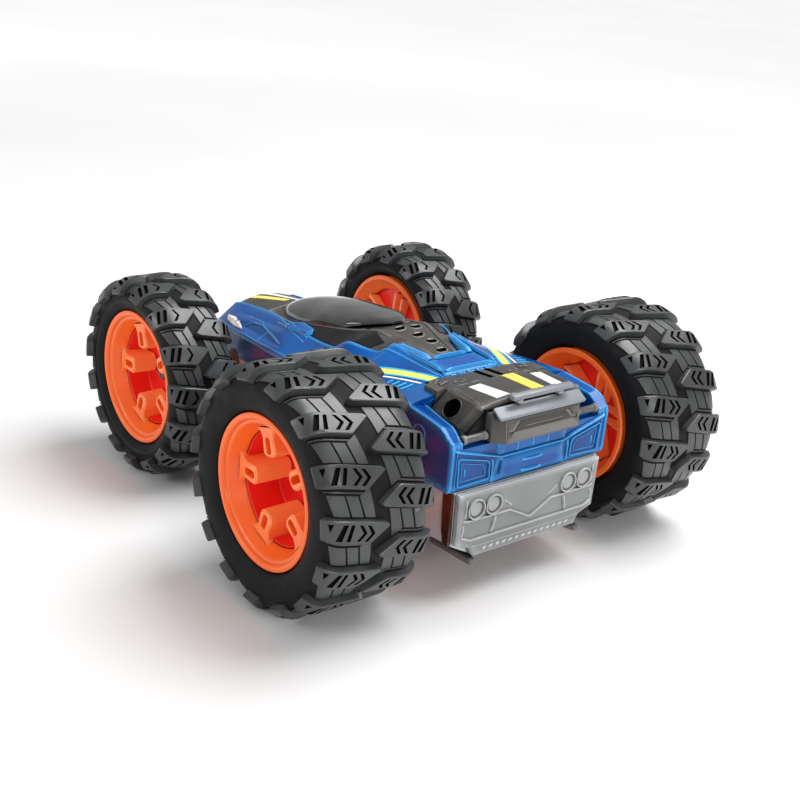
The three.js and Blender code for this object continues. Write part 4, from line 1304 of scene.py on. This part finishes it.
def build_deck():
    """The black deck with its slots, tabs and dots, then its white and yellow stickers."""
    right = [(69.9, 27), (72.5, 29.6), (80, 29.6), (82.4, 28), (86, 28.8), (106, 30.6), (108.4, 30.2)]
    outline = [(x, -y) for x, y in reversed(right)] + right
    slots = [rounded(rect(70.8, y - 1.6, 83.5, y + 1.6), 0.8) for y in (-0.4, 6.4)]
    shape = plate(outline, -1.5, 0, 0.5, slots, 1.4, step=3.2, recess_shade_paint=1).moved(on_deck)
    shape.join(plate(rect(72, -25, 107.2, 25), -3.4, -1.5, 0.3, step=6).moved(on_deck))
    shape.join(both_sides(ridge([(86.6, -26.8), (105.6, -28.8)], 0.7, 0.4).moved(on_deck)))
    shape.join(ridges(on_deck, [([(84.6, y - 3), (84.6, y + 3)], 0.7, 0.4) for y in (-20, -12, 12, 20)]))
    tabs = Shape()
    for x, y in ((72.6, 25.4), (74.8, 27.6), (77.4, 26.2), (76.6, 23.6)):
        corners = [(x - 0.8, y - 1.5), (x + 0.8, y - 1.2), (x + 0.8, y + 1.5), (x - 0.8, y + 1.1)]
        tabs.join(plate(rounded(corners, 0.3), -0.3, 0.7, 0.2).moved(on_deck))
    shape.join(both_sides(tabs))
    for x, y in ((79, 14), (80.4, 16.6), (78.4, 19)):
        shape.join(both_sides(plate(circle(x, y, 0.9, 12), -0.3, 0.35, 0.15).moved(on_deck)))
    piece("black_deck", shape, "black_plastic", ["satin", "pit_shade"], ["rear_deck"], sharp=45)
    white = [(89.4, 22.4), (89.4, 15.6), (106.2, 13.2), (106.2, 20.8)]
    patches = Shape()
    for side in (-1, 1):
        corners = [(x, side * y + WHITE_PATCH_SHIFT) for x, y in white]
        patches.join(sticker(corners, 2.0).moved(on_deck))
    piece("white_deck_patches", patches, "lens", ["white"])
    bars = Shape()
    for low, high in ((2.2, 3.0), (3.4, 6.2), (6.7, 9.6)):
        corners = [(84.8, low), (107.2, low - 1.0), (107.2, high - 1.0), (84.8, high)]
        bars.join(sticker(corners, 2.0).moved(on_deck))
    piece("yellow_deck_stripe", bars, "lens", ["yellow"])


BLOCK = {
    "front": 84.0, "half": 19.8, "flange": 109.3, "flange_half": 27.4, "rear": 118.4, "z": (75.3, 88.0),
}


def block_ring(z, drawn):
    """The rear block's plan at one height, its rear face drawn forwards."""
    rear, corner = BLOCK["rear"] - drawn, BLOCK["rear"] - 4.8 - 0.5 * drawn
    wide, narrow = BLOCK["flange_half"], BLOCK["half"]
    side = [
        (BLOCK["front"], narrow), (BLOCK["flange"], narrow), (BLOCK["flange"], wide), (corner, wide),
        (rear, wide - 4.8),
    ]
    return [(x, -y, z) for x, y in side] + [(x, y, z) for x, y in reversed(side)]


def build_block():
    """The black block under the deck, with a slanted rear face, two bent cuts and a wider flange."""
    low, high = BLOCK["z"]
    body = Shape().add(*loft([block_ring(low, 0), block_ring(high - 2.4, 1.6), block_ring(high, 5.6)]))

    def leaning(p):
        y, z, h = p.T
        return np.stack([BLOCK["rear"] - 1.6 / (high - 2.4 - low) * (z - low) + h, y, z], 1)

    face = across([(22.2, low + 0.4), (22.0, high - 2.7)])
    bent = [
        (13.4, 84.6), (15.4, 85.0), (17.2, 83.6), (18.4, 81.8), (21.2, 81.4), (21.2, 80.2),
        (17.6, 80.2), (15.9, 82.2),
    ]
    cuts = [[(side * y, z) for y, z in bent] for side in (-1, 1)]
    body.join(plate(face, -1.2, 0.3, 0.3, cuts, 1.2, recess_shade_paint=1).moved(leaning))
    body.join(ridge([(-12.6, 81.8), (12.6, 81.8)], 0.45, 0.3).moved(lifted(leaning, 0.3)))
    piece("black_rear_block", body, "black_plastic", ["black", "pit_shade"], ["rear_block"], bevel=0.3, sharp=30)


def bar_along_y(section, reach, chamfer):
    """A bar across the car from a closed outline of (x, z), drawn in at its two ends."""
    section = anticlockwise(section)
    inner = inset(section, 0.45)
    rings = [(-reach, inner), (-reach + chamfer, section), (reach - chamfer, section), (reach, inner)]
    rows = [[(x, y, z) for x, z in outline] for y, outline in reversed(rings)]
    return Shape().add(*loft(rows))


def build_bars():
    """The strip across the deck's rear edge, and the bar on two legs above it."""
    strip = [(110.9, 89.9), (112.2, 90.9), (117.6, 87.5), (117.4, 86.2), (115.8, 86.3)]
    shape = bar_along_y(rounded(strip, 0.4, 2), 26.4, 1.2)
    piece("grey_spoiler_strip", shape, "pale_grey", ["strip_grey"], ["spoiler_strip"], sharp=40)
    bar = [(112.3, 93.8), (112.4, 95.6), (113.4, 96.4), (116.0, 95.9), (116.4, 94.6), (115.8, 93.6)]
    shape = bar_along_y(rounded(bar, 0.6, 3), 18.4, 0.8)
    shape.join(both_sides(plate(rect(108.2, 11, 114.2, 14), 91.5, 94.2, 0.5)))
    piece("grey_rear_bar", shape, "pale_grey", ["strip_grey"], ["rear_bar"], sharp=50)


DUCT_X = (84.0, 105.5)
DUCT_HOLE = (94.2, 6.6)


def duct_shape():
    """The right-hand duct: a slanted outer face with a round hole in a raised ring."""
    top, foot = np.array([30.0, 90.7]), np.array([38.4, 80.4])
    down = (foot - top) / np.linalg.norm(foot - top)
    out = np.array([-down[1], down[0]])
    length = float(np.linalg.norm(foot - top))

    def on_face(p):
        u, v, h = p.T
        place = top[None, :] + v[:, None] * down[None, :] + h[:, None] * out[None, :]
        return np.stack([u, place[:, 0], place[:, 1]], 1)

    low, high = DUCT_X
    outline = [(low + 1.6, 0), (high, 0), (high - 2.2, length), (low - 1.0, length)]
    hole = circle(*DUCT_HOLE, 4.5, 36)
    shape = plate(outline, -6.4, 0, 0.5, [hole], 5.8, recess_shade_paint=1).moved(on_face)
    shape.join(ridge(circle(*DUCT_HOLE, 4.9, 36), 0.8, 0.35, closed=True).moved(on_face))
    shape.join(ridge([(84.4, length - 1.2), (103.0, length - 1.2)], 0.7, 0.3).moved(on_face))
    foot_block = [
        (22.7, 75.4), (22.7, 88.6), (26.9, 88.6), (24.8, 86.0), (33.5, 76.2), (37.7, 80.0), (36.4, 75.4),
    ]
    corner_block = [(27.8, 81.4), (27.8, 89.2), (30.2, 90.4), (33.8, 89.6), (34.6, 81.4)]
    for section, ends in ((foot_block, (high - 0.4, low + 0.2)), (corner_block, (83.6, 74.6))):
        shape.add(*loft([[(x, y, z) for y, z in section] for x in ends]))
    return shape


def strut_shape():
    """A short rod with a collar at each end, from the block out to the corner post."""
    profile = [
        (0.0, 27.7), (1.7, 27.7), (2.0, 28.0), (2.0, 29.6), (1.7, 30.0), (1.7, 39.4), (2.1, 39.8),
        (2.1, 41.4), (1.8, 41.8), (0.0, 41.8),
    ]
    rows = []
    for angle in np.linspace(0, 2 * math.pi, 25)[:-1]:
        rows.append([(110.6 + r * math.cos(angle), y, 78 + r * math.sin(angle)) for r, y in profile])
    return Shape().add(*grid(rows, close_along=True))


def build_side_fittings():
    """A duct and a strut on each side of the rear block."""
    for side in ("right", "left"):
        duct, strut = duct_shape(), strut_shape()
        if side == "left":
            duct, strut = mirrored_shape(duct), mirrored_shape(strut)
        piece(f"black_duct_{side}", duct, "black_plastic", ["black", "pit_shade"], [f"duct_{side}"],
              bevel=0.2, sharp=22)
        piece(f"rear_strut_{side}", strut, "brown_grey", ["brown_grey"], [f"strut_{side}"], sharp=40)


# ---------------------------------------------------------------- bumpers and the grey lower body

def build_rear_bumper():
    """The flat grey bumper: twin lamp rings, a line with a V in its middle and a lower band."""
    outline = across([(32.0, 22.0), (34.4, 26.4), (43.0, 29.6), (43.8, 54.2)])
    low, high = box_mm("rear_bumper")
    depth = high[0] - low[0]
    face = facing_rear(high[0])
    shape = plate(outline, -depth, 0, 0.7, step=2.5).moved(face)
    lines = [
        ([(-40.6, 41.2), (-13, 40.9), (-1.0, 34.8), (1.0, 34.8), (13, 40.9), (40.6, 41.2)], 1.3, 1.1),
        ([(-41.0, 33.2), (-35.6, 31.2), (35.6, 31.2), (41.0, 33.2)], 1.3, 1.1),
        ([(-33.6, 27.2), (33.6, 27.2)], 0.7, 0.25),
    ]
    for side in (-1, 1):
        lines += [
            ([(side * 21.4, 40.4), (side * 23.4, 32)], 1.5, 1.1),
            ([(side * 39.6, 51.4), (side * 39.6, 43)], 1.1, 0.6),
            ([(side * 40.2, 39.2), (side * 40.6, 34)], 1.1, 0.6),
            ([(side * 16.4, 46.2), (side * 11.6, 42.8)], 0.8, 0.35),
        ]
    shape.join(ridges(face, lines))
    for y in (-33.8, -23.4, 23.4, 33.8):
        shape.join(ridge(circle(y, 46.1, 4.6, 40), 1.2, 1.2, closed=True).moved(face))
        shape.join(plate(circle(y, 46.1, 3.6, 32), -0.3, 0.3, 0.3).moved(face))
    for y in np.linspace(-26, 26, 14):
        dash = [(y - 1.3, 24.4), (y + 0.7, 24.4), (y + 1.3, 25.8), (y - 0.7, 25.8)]
        shape.join(plate(dash, -0.2, 0.2, 0.1).moved(face))
    piece("grey_bumper", shape, "grey_shell", ["grey"], ["rear_bumper"], sharp=40)
    side = [(112.8, 29.0), (112.8, 53.6), (106.4, 53.6), (107.6, 36), (109.2, 29.4)]
    strips = both_sides(plate(side, -0.8, 0.4, 0.15).moved(facing_side(-45.2)))
    piece("brown_side_strips", strips, "brown_grey", ["brown"], sharp=40)


def build_skid_plate():
    """The thin black plate under the bumper, with a raised panel on its lower face."""
    outline = symmetric([(107, 28.5), (117.2, 31.8), (117.0, 34.8), (90.2, 35.8)])
    low, high = box_mm("skid_plate")
    shape = plate(rounded(outline, 0.8), low[2], high[2], 0.5)
    under = plate(rounded([(93, -22), (105, -25.5), (105, 25.5), (93, 22)], 2), 0, 0.5, 0.3)
    shape.join(under.moved(lambda p: np.stack([p[:, 0], -p[:, 1], low[2] + 0.2 - p[:, 2]], 1)))
    piece("black_skid_plate", shape, "black_plastic", ["black"], ["skid_plate"], sharp=40)


# The grey lower shell along X, as the CAD part has it: floor z, floor y, shoulder z, shoulder y.
GREY_STATIONS = (
    (-100, 24, 24, 32, 31),
    (-82, 19, 25, 29, 36),
    (-50, 19, 22, 31, 38),
    (-38, 16, 21, 33, 40),
    (38, 16, 21, 33, 46),
    (60, 18, 24, 31, 46.5),
    (90, 21.7, 30, 29, 46.5),
)


def under_floor(points):
    """A warp from (x, y, height) to the lower shell's floor, with height pointing down."""
    x, y, h = points.T
    stations = np.array(GREY_STATIONS)
    return np.stack([x, -y, np.interp(x, stations[:, 0], stations[:, 1]) - h], 1)


def grey_slope(x):
    """The lower shell's right slope at x: y and z at its foot and at its shoulder."""
    table = np.array(GREY_STATIONS)
    floor_z, floor_y, top_z, top_y = (np.interp(x, table[:, 0], column) for column in table.T[1:])
    return floor_y, floor_z, top_y, top_z


under_slope = sloping(grey_slope, out=-1)


# The lower canopy's half-width and depth along X.
LOWER_CANOPY = (
    (-29, 4, 1.0),
    (-24, 12, 2.8),
    (-10, 16, 4.1),
    (8, 15, 4.1),
    (17, 9, 3),
    (21, 3, 1.0),
)
LOWER_CANOPY_BASE_Z = 15.8


def build_lower_canopy():
    """The smooth canopy of the lower car, which points down."""
    rings = []
    for x in np.linspace(LOWER_CANOPY[0][0], LOWER_CANOPY[-1][0], 41):
        half, depth = measures_at(LOWER_CANOPY, x)
        rings.append([
            (float(x), -half * math.cos(a), LOWER_CANOPY_BASE_Z - depth * math.sin(a) ** 0.9)
            for a in np.linspace(0, math.pi, 33)
        ])
    shape = Shape().add(*loft(rings))
    piece("lower_canopy_glass", shape, "gloss_black", ["gloss_black"], ["lower_canopy"], sharp=60)


def build_lower_lines():
    """The lower shell's raised lines: the battery door's borders, louvres and body creases."""
    lines = Shape()
    for x, y, round_by in ((30.6, 16.6, 2.0), (33.8, 19.6, 1.0)):
        border = rounded(rect(-x, -y, x, y), round_by)
        lines.join(ridge(border, 0.8, 0.5, closed=True).moved(under_floor))
    louvres = [([(x, -13), (x, 13)], 1.8, 0.9) for x in (60, 66, 72, 78, 84)]
    rails = [([(-80, 0.8 * y), (-60, y), (-44, 0.9 * y)], 1.2, 1.1) for y in (-17, 17)]
    lines.join(ridges(under_floor, louvres + rails))
    creases = Shape()
    upper, lower = [(-74, 0.8), (-30, 0.84), (66, 0.84)], [(-92, 0.25), (-44, 0.55), (30, 0.6), (84, 0.3)]
    for path in (lower, upper):
        band = [(x, t - 0.03) for x, t in path] + [(x, t + 0.03) for x, t in reversed(path)]
        creases.join(plate(band, -1.4, 1.1, step=3.0).moved(under_slope))
    lines.join(both_sides(creases))
    piece("lower_body_lines", lines, "grey_shell", ["grey"], sharp=40)


def build_front_bumper():
    """The front bumper with three slots and a lamp ring on each side."""
    low, high = box_mm("front_bumper")
    outline = across([(22, low[2]), (26, low[2] + 4), (26, high[2] - 5), (20, high[2])])
    face = facing_front(low[0])
    slots = [rounded(rect(-15, z - 1, 15, z + 1), 0.8) for z in (44, 48.5, 53)]
    shape = plate(outline, low[0] - high[0], 0, 0.6, slots, 1.2).moved(face)
    for side in (-1, 1):
        shape.join(ridge(circle(side * 20.4, 50, 2.9, 28), 0.8, 0.35, closed=True).moved(face))
    piece("grey_front_bumper", shape, "grey_shell", ["grey"], ["front_bumper"], sharp=40)


def build_axle_bushes():
    """Black rings where the axles leave the body."""
    for end, node in (("rear", "rear_axle_right"), ("front", "front_axle")):
        low, high = box_mm(node)
        x, z = (low[0] + high[0]) / 2, (low[2] + high[2]) / 2
        side_y = float(blue_at(x)[6])
        profile = [
            (2.6, side_y - 3), (6.4, side_y - 3), (6.4, side_y + 0.6), (5.8, side_y + 1.2),
            (3.4, side_y + 2.2), (2.6, side_y + 2.0),
        ]
        ring = Shape().add(*lathe(profile, 36)).moved(lambda p: p + np.array([x, 0, z]))
        piece(f"axle_bushes_{end}", both_sides(ring), "black_plastic", ["black"], sharp=40)


# ---------------------------------------------------------------- camera, light and floor

VIEW = {"target": (17.4, 1.8, 55), "distance": 644.6, "azimuth": 49.28, "elevation": 21.54,
        "roll": 5.27, "lens": 57.46}


def add_camera():
    """The photo's camera, placed by its distance and angles from a target on the car."""
    azimuth, elevation, roll = (math.radians(VIEW[k]) for k in ("azimuth", "elevation", "roll"))
    back = Vector((math.cos(elevation) * math.sin(azimuth),
                   -math.cos(elevation) * math.cos(azimuth), math.sin(elevation)))
    level = Vector((0, 0, 1)).cross(back).normalized()
    up = back.cross(level)
    right = math.cos(roll) * level + math.sin(roll) * up
    over = -math.sin(roll) * level + math.cos(roll) * up
    camera = bpy.data.objects.new("camera", bpy.data.cameras.new("camera"))
    camera.data.lens = VIEW["lens"]
    camera.data.sensor_width = 36
    camera.data.clip_start = 0.01
    turn = Matrix((right, over, back)).transposed().to_4x4()
    place = (Vector(VIEW["target"]) + VIEW["distance"] * back) * MM
    camera.matrix_world = Matrix.Translation(place) @ turn
    bpy.context.scene.collection.objects.link(camera)
    bpy.context.scene.camera = camera


LIGHT_AIM_Z = 50


def add_light(name, place, size, power):
    """A soft area light at a place in millimetres, aimed at the middle of the car."""
    light = bpy.data.lights.new(name, "AREA")
    light.shape = "RECTANGLE"
    light.size, light.size_y = (s * MM for s in size)
    light.energy = power
    obj = bpy.data.objects.new(name, light)
    aim = Vector(place) - Vector((0, 0, LIGHT_AIM_Z))
    obj.rotation_euler = aim.to_track_quat("Z", "Y").to_euler()
    obj.location = Vector(place) * MM
    bpy.context.scene.collection.objects.link(obj)


FLOOR_HALF = 6000.0
FLOOR_GLOW = 0.75
GLOW_REACH = (0.3, 1.7)
SKY_STRENGTH = 0.45


def add_stage():
    """A pale floor that runs out to the horizon under a white sky, and glows more with distance."""
    floor = bpy.data.meshes.new("floor")
    corners = rect(-FLOOR_HALF, -FLOOR_HALF, FLOOR_HALF, FLOOR_HALF)
    floor.from_pydata([(x * MM, y * MM, 0) for x, y in corners], [], [(0, 1, 2, 3)])
    material, tree, shader = node_material("floor")
    colour = mixed(tree, ranged(tree, noise(tree, 3), 0, 1), (0.76, 0.76, 0.76), (0.79, 0.79, 0.79))
    tree.links.new(colour, shader.inputs["Base Color"])
    shader.inputs["Roughness"].default_value = 0.9
    shader.inputs["Specular IOR Level"].default_value = 0.1
    tree.links.new(colour, shader.inputs["Emission Color"])
    place = tree.nodes.new("ShaderNodeTexCoord")
    distance = tree.nodes.new("ShaderNodeVectorMath")
    distance.operation = "LENGTH"
    tree.links.new(place.outputs["Object"], distance.inputs[0])
    glow = ranged(tree, distance.outputs["Value"], 0, FLOOR_GLOW, GLOW_REACH)
    tree.links.new(glow, shader.inputs["Emission Strength"])
    floor.materials.append(material)
    obj = bpy.data.objects.new("floor", floor)
    bpy.context.scene.collection.objects.link(obj)
    world = bpy.data.worlds.new("studio")
    world.use_nodes = True
    world.node_tree.nodes["Background"].inputs["Color"].default_value = (1, 1, 1, 1)
    world.node_tree.nodes["Background"].inputs["Strength"].default_value = SKY_STRENGTH
    bpy.context.scene.world = world
    bpy.context.scene.view_settings.view_transform = "Standard"


def add_lights():
    """A large light overhead and two softer ones behind and to the left."""
    add_light("overhead", (150, 420, 980), (900, 700), 14)
    add_light("rear_side", (1300, -100, 560), (900, 450), 6)
    add_light("left_side", (-350, -1300, 700), (800, 300), 5)


# ---------------------------------------------------------------- the car

paint_frame()
for wheel in ("rear_left", "rear_right", "front_left", "front_right"):
    build_wheel(wheel)
build_blue_body()
build_roof_frame()
build_hood()
build_canopy()
build_surround()
build_stickers()
build_headlamps()
build_deck()
build_block()
build_bars()
build_side_fittings()
build_rear_bumper()
build_skid_plate()
build_lower_canopy()
build_lower_lines()
build_front_bumper()
build_axle_bushes()
add_camera()
add_stage()
add_lights()
